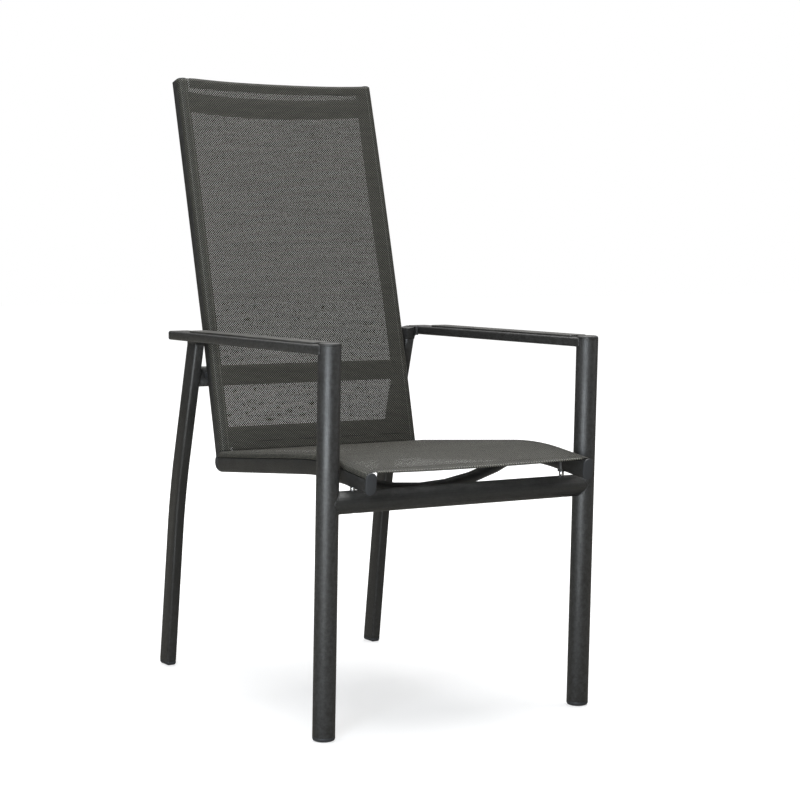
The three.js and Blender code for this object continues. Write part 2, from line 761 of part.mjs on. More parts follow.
function frontStretcher() {
  const height = seatAxisHeight(front_stretcher_setback) - front_stretcher_below_rail;
  const path = bowedPath(rail_inner - seam_gap, front_stretcher_setback, height, down, front_stretcher_bow);
  return sweep(roundTube(stretcher_diameter), path, small_round_facets);
}

function rearStretcher() {
  const height = seatAxisHeight(rear_stretcher_setback);
  const path = barPath(rail_inner - seam_gap, rear_stretcher_setback, height);
  return sweep(roundTube(stretcher_diameter), path, small_round_facets);
}

// Back rails
function flatBarSection() {
  return flatTube(flat_bar_depth, flat_bar_thickness, flat_bar_thickness / 2);
}

const onBackSide = (point, side) => point.clone().setX((side * back_rail_spacing) / 2);
function backBoltHole(side) {
  const reach = flat_bar_thickness + back_bolt_gap + back_bolt_grip;
  const from = onBackSide(lumbar_bar_middle, side).addScaledVector(lumbar.front, -reach);
  const to = from.clone().addScaledVector(lumbar.front, 2 * reach);
  return rodBetween(from, to, bolt_diameter + hole_clearance, small_round_facets);
}

function lumbarBar() {
  const half = (rear_leg_spacing - rear_leg_width) / 2 - seam_gap;
  const start = lumbar_bar_middle.clone().setX(-half);
  const path = new BentPath(start, X, lumbar.front.clone().negate(), 0, [{ length: 2 * half }]);
  let bar = sweep(flatBarSection(), path, corner_facets);
  for (const { side } of sides) bar = bar.subtract(backBoltHole(side));
  return bar;
}

function backRail(side) {
  const rail = sweep(railSection(-side), backPath((side * back_rail_spacing) / 2), nose_facets);
  return rail.subtract(backBoltHole(side));
}

function backSpacer(side) {
  const face = flat_bar_thickness / 2;
  const from = onBackSide(lumbar_bar_middle, side).addScaledVector(lumbar.front, face + seam_gap);
  const to = from.clone().addScaledVector(lumbar.front, back_bolt_gap - 2 * seam_gap);
  return rodBetween(from, to, back_spacer_diameter, small_round_facets).subtract(backBoltHole(side));
}

function backBolt(side) {
  const rear = flat_bar_thickness / 2 + seam_gap;
  const seat = onBackSide(lumbar_bar_middle, side).addScaledVector(lumbar.front, -rear);
  const length = flat_bar_thickness + back_bolt_gap + back_bolt_grip;
  return boltAt(seat, lumbar.front, length, bolt_diameter, bolt_head_diameter, bolt_head_height);
}

function backTopCap(side) {
  const path = backPath((side * back_rail_spacing) / 2);
  const up = path.directionOf(-foot_lean - back_turn);
  const front = path.sidewaysOf(-foot_lean - back_turn);
  const outline = roundedBar(rail_thickness, rail_depth, rail_nose);
  const place = path.getSpacedPoints().at(-1).addScaledVector(up, seam_gap);
  const plug = railHollow(spigot_clearance);
  return endCap(outline, plug, back_cap_edge, back_cap_thickness, place, up, front, nose_facets / 2);
}

const back_inner = (back_rail_spacing - rail_thickness) / 2;
const top_bar_height = backPath(0).getSpacedPoints().at(-1).z - top_bar_below_rail_end;
const bottom_bar_height = back_foot_height + bottom_bar_above_rail_foot;
function backBar(height, bow) {
  const { point, front } = backPlace(height);
  const half = back_inner - seam_gap;
  const rearward = front.clone().negate();
  const path = bow
    ? bowedPath(half, point.y, point.z, rearward, bow)
    : new BentPath(point.clone().setX(-half), X, rearward, 0, [{ length: 2 * half }]);
  return sweep(flatBarSection(), path, corner_facets);
}

// Edge rods in the channels, and the slings between them
function edgeRod(path, outer) {
  const shape = new THREE.Shape();
  shape.absarc(outer * channel_centre, channel_height, rod_diameter / 2, 0, 2 * half_turn, false);
  return sweep(shape, path, rod_facets);
}

// A sling in section: over both noses and down into the channel slots on the outer sides
function slingSection(spacing) {
  const bend = rail_depth / 2 - rail_nose;
  const inside = rail_nose + sling_gap;
  const outside = inside + sling_thickness;
  const edge = spacing / 2;
  const low = channel_height - sling_thickness / 2;
  const high = low + sling_thickness;
  const outerEnd = Math.asin((low - bend) / outside);
  const innerEnd = Math.asin((high - bend) / inside);
  const tuck = edge + channel_centre + channel_radius + seam_gap;
  const shape = new THREE.Shape();
  shape.moveTo(tuck, low);
  shape.absarc(edge, bend, outside, outerEnd, quarter_turn, false);
  shape.absarc(-edge, bend, outside, quarter_turn, half_turn - outerEnd, false);
  shape.lineTo(-tuck, low);
  shape.lineTo(-tuck, high);
  shape.absarc(-edge, bend, inside, half_turn - innerEnd, quarter_turn, true);
  shape.absarc(edge, bend, inside, quarter_turn, innerEnd, true);
  shape.lineTo(tuck, high);
  shape.closePath();
  return shape;
}

function sling(spacing, path) {
  return sweep(slingSection(spacing), path, nose_facets / 2);
}

// Corner brackets: a plug up into each back rail and a lug screwed to the inside of the seat rail
function screwPlaces(side) {
  return [0, 1].map((i) => {
    const setback = seat_rail_rear_end - screw_edge_distance - spigot_depth - i * screw_spacing;
    const height = seatAxisHeight(setback) - lug_below_axis;
    return new THREE.Vector3(side * (rail_inner - seam_gap), setback, height);
  });
}

function screwHole(place, side) {
  const from = place.clone().setX(place.x - side * (lug_thickness + overrun));
  const to = place.clone().setX(place.x + side * (screw_length - lug_thickness + overrun));
  return rodBetween(from, to, screw_diameter + hole_clearance, small_round_facets);
}

function bracketScrew(place, side) {
  const seat = place.clone().setX(place.x - side * (lug_thickness + seam_gap));
  const outwards = X.clone().multiplyScalar(side);
  return boltAt(seat, outwards, screw_length, screw_diameter, screw_head_diameter, screw_head_height);
}

function cornerBracket(side) {
  const path = backPath((side * back_rail_spacing) / 2);
  const up = path.directionOf(-foot_lean);
  const front = path.sidewaysOf(-foot_lean);
  const foot = path.start.clone().addScaledVector(up, -seam_gap);
  const across = front.clone().cross(up).normalize();
  const turn = new THREE.Matrix4().makeBasis(across, front, up).setPosition(foot);
  const plug = plate(railHollow(spigot_clearance), spigot_depth + bracket_shoulder / 2, 0, nose_facets);
  const oval = roundedBar(rail_thickness, rail_depth, rail_nose);
  const shoulder = plate(oval, bracket_shoulder, 0, nose_facets / 2);
  plug.translate(0, 0, -bracket_shoulder / 2);
  shoulder.translate(0, 0, -bracket_shoulder);
  const [rearScrew, frontScrew] = screwPlaces(side);
  const half = lug_height / 2;
  const heel = foot.clone().addScaledVector(up, -bracket_shoulder / 2);
  const heelRear = heel.clone().addScaledVector(front, -rail_depth / 2 + rail_nose / 2);
  const heelFront = heel.clone().addScaledVector(front, rail_depth / 2 - rail_nose / 2);
  const outline = new THREE.Shape();
  outline.moveTo(frontScrew.y, frontScrew.z + half);
  outline.absarc(frontScrew.y, frontScrew.z, half, quarter_turn, half_turn + quarter_turn, false);
  outline.lineTo(rearScrew.y, rearScrew.z - half);
  outline.lineTo(heelRear.y, heelRear.z);
  outline.lineTo(heelFront.y, heelFront.z);
  outline.closePath();
  const lug = plate(outline, lug_thickness, 0, nose_facets);
  lug.applyMatrix4(new THREE.Matrix4().makeBasis(Y, Z, X));
  const innermost = side > 0 ? rearScrew.x - lug_thickness : rearScrew.x;
  lug.translate(innermost, 0, 0);
  let made = solidOf(plug).add(solidOf(shoulder)).transform(turn.toArray()).add(solidOf(lug));
  for (const place of screwPlaces(side)) made = made.subtract(screwHole(place, side));
  return made;
}

// Assembly
for (const { name, side } of sides) {
  const seatRailPath = seatPath((side * seat_rail_spacing) / 2);
  const backRailPath = backPath((side * back_rail_spacing) / 2);
  addPiece(`front_leg_${name}`, frontLeg(side), powder_coat);
  addPiece(`front_leg_cap_${name}`, legCap(side), powder_coat);
  addPiece(`front_glide_${name}`, frontGlide(side), plug_plastic);
  addPiece(`rear_leg_${name}`, rearLeg(side), powder_coat);
  addPiece(`rear_leg_head_${name}`, legHead(side), cast_coat);
  addPiece(`rear_glide_${name}`, rearGlide(side), plug_plastic);
  addPiece(`arm_${name}`, arm(side), powder_coat);
  addPiece(`arm_end_cap_${name}`, armCap(side), plug_plastic);
  addPiece(`arm_pad_${name}`, armPad(side), arm_pad_finish);
  addPiece(`seat_rail_${name}`, seatRail(side), powder_coat);
  addPiece(`seat_rail_front_cap_${name}`, railFrontCap(side), plug_plastic);
  addPiece(`seat_rail_rear_cap_${name}`, railRearCap(side), plug_plastic);
  addPiece(`seat_edge_rod_${name}`, edgeRod(seatRailPath, side), rod_plastic);
  addPiece(`seat_spacer_${name}`, seatSpacer(side), stainless);
  addPiece(`seat_bolt_${name}`, seatBolt(side), stainless);
  addPiece(`back_rail_${name}`, backRail(side), powder_coat);
  addPiece(`back_rail_cap_${name}`, backTopCap(side), plug_plastic);
  addPiece(`back_edge_rod_${name}`, edgeRod(backRailPath, -side), rod_plastic);
  addPiece(`back_spacer_${name}`, backSpacer(side), plug_plastic);
  addPiece(`back_bolt_${name}`, backBolt(side), stainless);
  addPiece(`corner_bracket_${name}`, cornerBracket(side), cast_coat);
  screwPlaces(side).forEach((place, i) => {
    addPiece(`bracket_screw_${name}_${i + 1}`, bracketScrew(place, side), stainless);
  });
}
addPiece("front_crossbar", frontBar(), powder_coat);
addPiece("lumbar_crossbar", lumbarBar(), powder_coat);
addPiece("seat_front_stretcher", frontStretcher(), powder_coat);
addPiece("seat_rear_stretcher", rearStretcher(), powder_coat);
addPiece("back_top_bar", backBar(top_bar_height, top_bar_bow), powder_coat);
addPiece("back_bottom_bar", backBar(bottom_bar_height, 0), powder_coat);
addPiece("seat_sling", sling(seat_rail_spacing, seatPath(0)), mesh_fabric);
addPiece("back_sling", sling(back_rail_spacing, backPath(0)), mesh_fabric);

// The origin is on the floor, under the middle of the whole chair
const extent = new THREE.Box3().setFromObject(chair, true);
chair.position.y = -(extent.min.y + extent.max.y) / 2;

export default chair;
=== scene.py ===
# %% [markdown]
# # A sling patio chair
# The chair is an aluminium tube frame with two stretched mesh slings. Every metal and plastic
# part was drawn to size elsewhere and is loaded here as a fixed frame, so this lesson is about
# how the chair looks: softened edges, welds, woven cloth, stitching, paint and light.
# Lengths are in metres, +Z is up and the sitter faces -Y.

# %% Load the chair's frame
import math

import bmesh
import bpy
from mathutils import Matrix, Vector
from mathutils.bvhtree import BVHTree


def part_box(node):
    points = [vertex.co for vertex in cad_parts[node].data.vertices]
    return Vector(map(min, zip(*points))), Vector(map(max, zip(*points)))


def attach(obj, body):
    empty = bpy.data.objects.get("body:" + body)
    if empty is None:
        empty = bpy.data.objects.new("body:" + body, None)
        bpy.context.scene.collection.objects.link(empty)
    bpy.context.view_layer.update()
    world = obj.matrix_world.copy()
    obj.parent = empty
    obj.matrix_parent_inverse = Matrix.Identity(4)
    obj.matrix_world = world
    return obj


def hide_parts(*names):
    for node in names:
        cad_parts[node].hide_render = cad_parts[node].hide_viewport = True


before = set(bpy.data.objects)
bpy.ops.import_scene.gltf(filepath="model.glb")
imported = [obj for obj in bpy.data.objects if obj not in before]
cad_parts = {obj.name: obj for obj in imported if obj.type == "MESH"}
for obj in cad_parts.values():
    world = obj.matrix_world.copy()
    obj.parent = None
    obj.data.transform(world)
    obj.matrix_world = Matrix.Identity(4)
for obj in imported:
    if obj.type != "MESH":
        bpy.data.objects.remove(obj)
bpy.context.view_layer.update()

mm = 0.001
sides = {"left": -1, "right": 1}

# %% [markdown]
# ## The camera
# The photograph was taken from the front left, a little below the top of the back, with a long
# lens. A long lens keeps the two sides of a chair nearly parallel. The place, the turn and the
# lens below are what makes the four feet, the arms and the back land where the photograph has
# them.

# %% Set up the camera
camera_from_foot = Vector((-1.657, -2.9099, 0.8562))
camera_yaw = math.radians(31.719)
camera_pitch = math.radians(5.039)
camera_roll = math.radians(0.491)
lens_mm = 93.59

foot_low, foot_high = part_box("front_glide_left")
foot = (foot_low + foot_high) / 2
forward = Vector((
    math.sin(camera_yaw) * math.cos(camera_pitch),
    math.cos(camera_yaw) * math.cos(camera_pitch),
    -math.sin(camera_pitch),
))
level = Vector((math.cos(camera_yaw), -math.sin(camera_yaw), 0))
upright = level.cross(forward)
right = level * math.cos(camera_roll) + upright * math.sin(camera_roll)
up = upright * math.cos(camera_roll) - level * math.sin(camera_roll)

bpy.ops.object.camera_add()
camera = bpy.context.object
camera.name = "camera"
camera.matrix_world = Matrix.Translation(Vector((foot.x, foot.y, 0)) + camera_from_foot) @ Matrix(
    (right, up, -forward)
).transposed().to_4x4()
camera.data.lens = lens_mm
camera.data.clip_end = 50
bpy.context.scene.camera = camera
bpy.context.scene.view_settings.view_transform = "Standard"
print("camera at", [round(v, 3) for v in camera.location])

# %% [markdown]
# ## Selecting
# An operator works on everything that is selected, so each step first says what it works on.
# These helpers do that, and also what every finished piece needs: its place worked into its
# mesh, its modifiers made real, and a parent at the root, with the drawn parts that it stands for
# hidden.

# %% Helpers for selecting
def work_on(piece):
    """Makes one object the only one that operators touch."""
    bpy.ops.object.select_all(action="DESELECT")
    piece.select_set(True)
    bpy.context.view_layer.objects.active = piece


def finish_place(piece):
    """Moves an object's place, turn and size into its mesh, so that it sits at the origin."""
    work_on(piece)
    bpy.ops.object.transform_apply(location=True, rotation=True, scale=True)


def into_scene(name, data):
    """A new object for a mesh or a curve, placed at the origin."""
    piece = bpy.data.objects.new(name, data)
    bpy.context.scene.collection.objects.link(piece)
    return piece


def apply_modifiers(piece):
    """Makes an object's modifiers part of its mesh."""
    work_on(piece)
    for modifier in list(piece.modifiers):
        bpy.ops.object.modifier_apply(modifier=modifier.name)


def belongs(piece, slot, *nodes):
    """Hangs a piece under the root and hides the drawn parts that it stands for. Its slot is not
    used.
    """
    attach(piece, "root")
    if nodes:
        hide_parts(*nodes)
    return piece


# %% [markdown]
# ## Building materials from nodes
# A procedural material is a small web of nodes: each does one sum or one pattern and passes its
# result on. Written out in full, such a web is long and hard to read, so these helpers each place
# one kind of node and return its output, and a material then reads like a sentence.

# %% Helpers for building node trees
def new_group(name, inputs, outputs):
    """A shader node group of plain numbers. Each named input has a usual value."""
    kind = "NodeSocketFloat"
    tree = bpy.data.node_groups.new(name, "ShaderNodeTree")
    for socket, value in inputs.items():
        made = tree.interface.new_socket(socket, in_out="INPUT", socket_type=kind)
        made.default_value = value
    for socket in outputs:
        tree.interface.new_socket(socket, in_out="OUTPUT", socket_type=kind)
    return tree, tree.nodes.new("NodeGroupInput").outputs, tree.nodes.new("NodeGroupOutput")


def feed(tree, node, values):
    """Joins a node's sockets to other nodes' outputs, or gives them plain values."""
    for socket, value in values.items():
        if isinstance(value, bpy.types.NodeSocket):
            tree.links.new(value, node.inputs[socket])
        else:
            node.inputs[socket].default_value = value


def maths(tree, operation, *values):
    """One sum, of plain values or of other nodes' outputs."""
    node = tree.nodes.new("ShaderNodeMath")
    node.operation = operation
    feed(tree, node, dict(enumerate(values)))
    return node.outputs[0]


def times(tree, product, *factors):
    """Two or more values multiplied together."""
    for factor in factors:
        product = maths(tree, "MULTIPLY", product, factor)
    return product


def vector_maths(tree, operation, *vectors):
    """One number from vectors, such as a length or a dot product."""
    node = tree.nodes.new("ShaderNodeVectorMath")
    node.operation = operation
    feed(tree, node, dict(enumerate(vectors)))
    return node.outputs["Value"]


def ramp(tree, value, low, high, start=0.0, end=1.0):
    """Maps a value from the range low..high to start..end, smoothly and clamped."""
    node = tree.nodes.new("ShaderNodeMapRange")
    node.interpolation_type = "SMOOTHSTEP"
    feed(tree, node, {
        "Value": value, "From Min": low, "From Max": high, "To Min": start, "To Max": end})
    return node.outputs["Result"]


def noise(tree, vector, scale, detail=2.0, roughness=0.5):
    """A cloudy pattern with values round a half."""
    node = tree.nodes.new("ShaderNodeTexNoise")
    feed(tree, node, {"Vector": vector, "Scale": scale, "Detail": detail, "Roughness": roughness})
    return node.outputs["Fac"]


def blend_colour(tree, share, first, second):
    """The first colour where the share is 0 and the second where it is 1."""
    node = tree.nodes.new("ShaderNodeMix")
    node.data_type = "RGBA"
    first_colour, second_colour, result = 6, 7, 2
    feed(tree, node, {"Factor": share})
    for socket, colour in ((first_colour, first), (second_colour, second)):
        feed(tree, node, {socket: (*colour, 1) if isinstance(colour, tuple) else colour})
    return node.outputs[result]


def object_place(tree):
    """The place on the piece, in metres, which stays with the piece."""
    return tree.nodes.new("ShaderNodeTexCoord").outputs["Object"]


def stretched(tree, vector, scale):
    """A place with each direction scaled, which draws a pattern out into lines."""
    node = tree.nodes.new("ShaderNodeMapping")
    feed(tree, node, {"Vector": vector, "Scale": scale})
    return node.outputs["Vector"]


def axes(tree, vector):
    """The X, Y and Z of a vector, each by itself."""
    node = tree.nodes.new("ShaderNodeSeparateXYZ")
    feed(tree, node, {0: vector})
    return node.outputs


def group_node(tree, name, **values):
    """Places a node group in a material, with its own values."""
    node = tree.nodes.new("ShaderNodeGroup")
    node.node_tree = bpy.data.node_groups[name]
    feed(tree, node, values)
    return node.outputs


# %% [markdown]
# ## Patterns that several finishes share
# Paint, plastic and cloth all need some of the same effects: a fine grain, dust that settles on
# faces that look up, and edges that are rubbed lighter. Each effect is a node group that is made
# once and placed in every material that needs it, with its own values. The groups read object
# coordinates, so the pattern has a real size and stays on the piece.

# %% Grain, dust and rubbed edges
def make_grain():
    """A fine orange-peel grain with a slow change over the piece."""
    tree, given, out = new_group("fine grain", {"Scale": 1000.0}, ["Height", "Speckle", "Drift"])
    place = object_place(tree)
    finer, slow_scale = 2.3, 14.0
    fine = noise(tree, place, times(tree, given["Scale"], finer), 1.0)
    feed(tree, out, {
        "Height": noise(tree, place, given["Scale"], 3.0, 0.6),
        "Speckle": ramp(tree, fine, 0.52, 0.72),
        "Drift": noise(tree, place, slow_scale, 3.0),
    })


def make_dust():
    """Dust lies where a face looks up, in soft patches."""
    tree, given, out = new_group("settled dust", {"Amount": 0.3}, ["Mask"])
    facing = axes(tree, tree.nodes.new("ShaderNodeNewGeometry").outputs["Normal"])
    upward = ramp(tree, facing["Z"], 0.3, 1.0)
    patches = ramp(tree, noise(tree, object_place(tree), 60.0, 4.0, 0.6), 0.35, 0.75, 0.3, 1.0)
    feed(tree, out, {"Mask": times(tree, upward, patches, given["Amount"])})


def make_edges():
    """Edges are rubbed a little lighter where hands and floors touch them."""
    tree, given, out = new_group("rubbed edges", {"Amount": 0.5}, ["Mask"])
    pointed = tree.nodes.new("ShaderNodeNewGeometry").outputs["Pointiness"]
    sharp = ramp(tree, pointed, 0.51, 0.62)
    broken = ramp(tree, noise(tree, object_place(tree), 180.0, 4.0, 0.7), 0.35, 0.65)
    feed(tree, out, {"Mask": times(tree, sharp, broken, given["Amount"])})


make_grain()
make_dust()
make_edges()
print("shared patterns:", [g.name for g in bpy.data.node_groups])

# %% [markdown]
# ## The weave
# The slings are a coated mesh: pairs of flat yarns go over and under each other in a fine chequer
# of squares of about two millimetres, with a small hole at every other corner of the squares. The
# light squares are painted highlights: the sheen on the crowns of the yarns that ride on top is
# painted into the colour. The weave could be modelled yarn by yarn, but that is millions of faces
# for a pattern finer than a picture shows, so it is a pattern with real holes in its alpha. It
# follows the cloth, so it reads the sling's own UV map, which counts metres across and along
# the cloth. One group gives the height of the yarns, a mask for the highlights painted on their
# crowns, the holes, and a slow change from row to row.

# %% The weave as a node group
weave_cell = 2.2 * mm
yarn_roundness = 0.6
row_stretch = (0.012, 0.24, 1.0)


def make_weave():
    """Two by two yarns in a chequer. Hole is the width of a hole as a share of a cell."""
    tree, given, out = new_group(
        "basket weave", {"Cell": weave_cell, "Hole": 0.27}, ["Height", "Painted Highlight", "Gap", "Yarn"])
    uv = tree.nodes.new("ShaderNodeUVMap")
    uv.uv_map = "cloth"
    on_cloth = axes(tree, uv.outputs["UV"])
    across = maths(tree, "DIVIDE", on_cloth["X"], given["Cell"])
    along = maths(tree, "DIVIDE", on_cloth["Y"], given["Cell"])
    column, row = maths(tree, "FLOOR", across), maths(tree, "FLOOR", along)
    warp_up = maths(tree, "FLOORED_MODULO", maths(tree, "ADD", column, row), 2.0)

    def pair(coordinate):
        """Two rounded yarns side by side in one cell, seen across them."""
        wave = maths(tree, "SINE", times(tree, coordinate, 2.0 * math.pi))
        return maths(tree, "POWER", maths(tree, "ABSOLUTE", wave), yarn_roundness)

    def arch(coordinate):
        """A yarn rises over the middle of its cell and dives at the ends."""
        return maths(tree, "ABSOLUTE", maths(tree, "SINE", times(tree, coordinate, math.pi)))

    # Where a highlight is painted: on the crown of each yarn that rides on top.
    painted_crown_highlight = ramp(tree, times(tree, arch(across), arch(along)), 0.35, 0.9)
    warp = times(tree, pair(across), arch(along))
    weft = times(tree, pair(along), arch(across))
    height = tree.nodes.new("ShaderNodeMix")
    first_value, second_value = 2, 3
    feed(tree, height, {"Factor": warp_up, first_value: weft, second_value: warp})

    def nearest_corner(coordinate):
        """The number of the nearest line between two cells, and the distance to it in cells."""
        half_on = maths(tree, "ADD", coordinate, 0.5)
        off = maths(tree, "SUBTRACT", maths(tree, "FRACT", half_on), 0.5)
        return maths(tree, "FLOOR", half_on), maths(tree, "ABSOLUTE", off)

    cell_place = tree.nodes.new("ShaderNodeCombineXYZ")
    feed(tree, cell_place, {"X": column, "Y": row})
    rows = noise(tree, stretched(tree, cell_place.outputs[0], row_stretch), 1.0, 3.0, 0.75)
    half_hole = times(tree, given["Hole"], ramp(tree, rows, 0.3, 0.7, 0.525, 0.475))
    corner_across, off_across = nearest_corner(across)
    corner_along, off_along = nearest_corner(along)
    hole = maths(tree, "LESS_THAN", maths(tree, "MAXIMUM", off_across, off_along), half_hole)
    corner = maths(tree, "ADD", corner_across, corner_along)
    feed(tree, out, {
        "Height": height.outputs[0],
        "Painted Highlight": times(tree, warp_up, painted_crown_highlight),
        "Gap": times(tree, hole, maths(tree, "FLOORED_MODULO", corner, 2.0)),
        "Yarn": ramp(tree, rows, 0.36, 0.64),
    })


make_weave()
print("weave cell:", weave_cell, "m")

# %% [markdown]
# ## A finish to start from
# Every finish starts from one plain shader and then gets its patterns: colours that vary a
# little, a roughness that varies with them, and a skin with a real depth. Dust is a warm grey on
# dark metal, plastic and cloth alike.

# %% Helpers for a finish
dust_colour = (0.2, 0.195, 0.18)


def new_finish(name, colour, rough, specular=0.5, metal=0.0):
    """A material with a Principled shader and plain values, to be enriched."""
    material = bpy.data.materials.new(name)
    material.use_nodes = True
    tree = material.node_tree
    shader = tree.nodes["Principled BSDF"]
    feed(tree, shader, {
        "Base Color": (*colour, 1), "Roughness": rough,
        "Specular IOR Level": specular, "Metallic": metal})
    return material, tree, shader


def enrich(tree, shader, colour, rough, skin, strength, depth):
    """Gives a finish its varied colour and roughness, and a skin of a real depth in metres."""
    bump = tree.nodes.new("ShaderNodeBump")
    feed(tree, bump, {"Strength": strength, "Distance": depth, "Height": skin})
    feed(tree, shader, {
        "Base Color": colour, "Roughness": rough, "Normal": bump.outputs["Normal"]})


# %% [markdown]
# ## Paint, plastic and steel
# The frame is powder coated in a dark grey that is almost black in the shade and picks up a
# satin sheen in the light. Powder coat melts into a skin with a faint orange peel, so most of its
# character is in the bump and the roughness and little in the colour. The plastic plugs are
# duller, and the pads on the arms have long lines drawn along them. The steel bolts are bright,
# with fine turning marks.

# %% Paint
rubbed_colour = (0.16, 0.16, 0.165)


def painted(name, dark, light, rough, scale, strength, specular):
    """Powder coat: two close greys, rubbed edges, dust, and an orange-peel skin."""
    material, tree, shader = new_finish(name, dark, rough, specular)
    grain = group_node(tree, "fine grain", Scale=scale)
    edges = group_node(tree, "rubbed edges", Amount=0.35)
    dust = group_node(tree, "settled dust", Amount=0.22)
    body = blend_colour(tree, grain["Drift"], dark, light)
    glitter = tuple(c * 2.6 for c in light)
    speck = blend_colour(tree, times(tree, grain["Speckle"], 0.35), body, glitter)
    worn = blend_colour(tree, edges["Mask"], speck, rubbed_colour)
    dusty = blend_colour(tree, dust["Mask"], worn, dust_colour)
    sheen = ramp(tree, grain["Drift"], 0.3, 0.7, rough - 0.04, rough + 0.06)
    dulled = maths(tree, "ADD", sheen, times(tree, dust["Mask"], 0.5))
    enrich(tree, shader, dusty, dulled, grain["Height"], strength, 0.4 * mm)
    return material


powder_coat = painted(
    "powder_coat", (0.0095, 0.0091, 0.0082), (0.0150, 0.0144, 0.0130), 0.42, 900.0, 0.9, 0.6)
cast_coat = painted(
    "cast_coat", (0.0085, 0.0083, 0.0078), (0.013, 0.0127, 0.012), 0.46, 620.0, 0.9, 0.5)
print("paints:", powder_coat.name, cast_coat.name)

# %% [markdown]
# Plugs, glides and welt rods are moulded or extruded plastic, coloured all the way through, so
# nothing rubs off their edges. Their skin has a matt spark-eroded grain from the mould.

# %% Plastic
def plastic(name, dark, light, rough, scale, strength, specular=0.4):
    """Moulded plastic: a matt spark-eroded skin with a little dust."""
    material, tree, shader = new_finish(name, dark, rough, specular)
    grain = group_node(tree, "fine grain", Scale=scale)
    dust = group_node(tree, "settled dust", Amount=0.3)
    body = blend_colour(tree, grain["Drift"], dark, light)
    glitter = tuple(c * 2 for c in light)
    speck = blend_colour(tree, times(tree, grain["Speckle"], 0.25), body, glitter)
    dusty = blend_colour(tree, dust["Mask"], speck, dust_colour)
    sheen = ramp(tree, grain["Drift"], 0.3, 0.7, rough - 0.05, rough + 0.08)
    enrich(tree, shader, dusty, sheen, grain["Height"], strength, 0.3 * mm)
    return material


plug_plastic = plastic(
    "plug_plastic", (0.024, 0.025, 0.027), (0.033, 0.034, 0.036), 0.48, 1400.0, 0.5)
rod_plastic = plastic(
    "edge_rod", (0.018, 0.018, 0.019), (0.024, 0.024, 0.025), 0.35, 1600.0, 0.3)


def make_pad_plastic():
    """The arm pads: a hard plastic with long drawn lines along the arm."""
    material, tree, shader = new_finish("arm_pad", (0.034, 0.033, 0.031), 0.5, 0.45)
    grain = group_node(tree, "fine grain", Scale=1100.0)
    dust = group_node(tree, "settled dust", Amount=0.25)
    drawn_out = (1.0, 0.035, 1.0)
    lines = noise(tree, stretched(tree, object_place(tree), drawn_out), 420.0, 4.0, 0.6)
    dark_line, light_line = (0.014, 0.0135, 0.0125), (0.07, 0.067, 0.061)
    body = blend_colour(tree, ramp(tree, lines, 0.3, 0.7), dark_line, light_line)
    pad_dust = (0.22, 0.215, 0.2)
    dusty = blend_colour(tree, dust["Mask"], body, pad_dust)
    sheen = ramp(tree, lines, 0.3, 0.7, 0.42, 0.58)
    skin = maths(tree, "ADD", lines, times(tree, grain["Height"], 0.4))
    enrich(tree, shader, dusty, sheen, skin, 0.5, 0.4 * mm)
    return material


arm_pad = make_pad_plastic()
print("plastics:", plug_plastic.name, rod_plastic.name, arm_pad.name)

# %% [markdown]
# The bolts, their spacers and the screws are plain stainless steel. They were turned on a lathe,
# which leaves fine rings round them, so the rings are a noise that is drawn out flat.

# %% Steel
def make_steel():
    """Stainless bolts and spacers, with turning marks round each one."""
    material, tree, shader = new_finish("stainless", (0.52, 0.52, 0.53), 0.3, 0.5, 1.0)
    grain = group_node(tree, "fine grain", Scale=1800.0)
    drawn_flat = (0.05, 0.05, 1.0)
    turned = noise(tree, stretched(tree, object_place(tree), drawn_flat), 5000.0, 2.0)
    dull, bright = (0.46, 0.46, 0.47), (0.6, 0.6, 0.61)
    metal = blend_colour(tree, grain["Drift"], dull, bright)
    enrich(tree, shader, metal, ramp(tree, turned, 0.3, 0.7, 0.22, 0.4), turned, 0.25, 0.1 * mm)
    return material


stainless = make_steel()
print("metal:", stainless.name)

# %% [markdown]
# ## Cloth and thread
# The mesh cloth is a coated polyester. Each warp yarn has a glint on its crown, where it rides
# over the weft, which is a highlight painted into the colour, and everything between the glints is
# painted almost black: the yarns' own dark colour with painted shade between them. Where the cloth
# is doubled in a hem, the second layer closes most of the holes. The slings are sewn with three
# threads: grey on top of the rails, dark in the inner rows, and pale along the seat's front.

# %% Cloth and thread
def make_cloth(name, hole):
    """Coated mesh: highlights painted on the crowns of near-black yarns, with holes that are a
    share of a cell wide.
    """
    material, tree, shader = new_finish(name, (0.06, 0.059, 0.053), 0.5, 0.25)
    weave = group_node(tree, "basket weave", Cell=weave_cell, Hole=hole)
    grain = group_node(tree, "fine grain", Scale=700.0)
    dust = group_node(tree, "settled dust", Amount=0.12)
    # Painted light: the crown colour is a highlight painted on each yarn's crown, and the
    # near-black between is the yarns' own dark colour with painted shade between them.
    between, painted_crown_highlight = (0.006, 0.0059, 0.005), (0.25, 0.241, 0.194)
    darker_row, faded = (0.012, 0.0118, 0.0105), (0.05, 0.049, 0.043)
    lit = blend_colour(tree, weave["Painted Highlight"], between, painted_crown_highlight)
    mottled = blend_colour(tree, times(tree, weave["Yarn"], 0.25), lit, darker_row)
    drifting = blend_colour(tree, times(tree, grain["Drift"], 0.12), mottled, faded)
    dusty = blend_colour(tree, dust["Mask"], drifting, dust_colour)
    sheen = ramp(tree, weave["Height"], 0.0, 1.0, 0.65, 0.42)
    enrich(tree, shader, dusty, sheen, weave["Height"], 0.7, 0.35 * mm)
    feed(tree, shader, {"Alpha": maths(tree, "SUBTRACT", 1.0, weave["Gap"])})
    return material


mesh_cloth = make_cloth("mesh_cloth", 0.455)
hem_cloth = make_cloth("hem_cloth", 0.24)


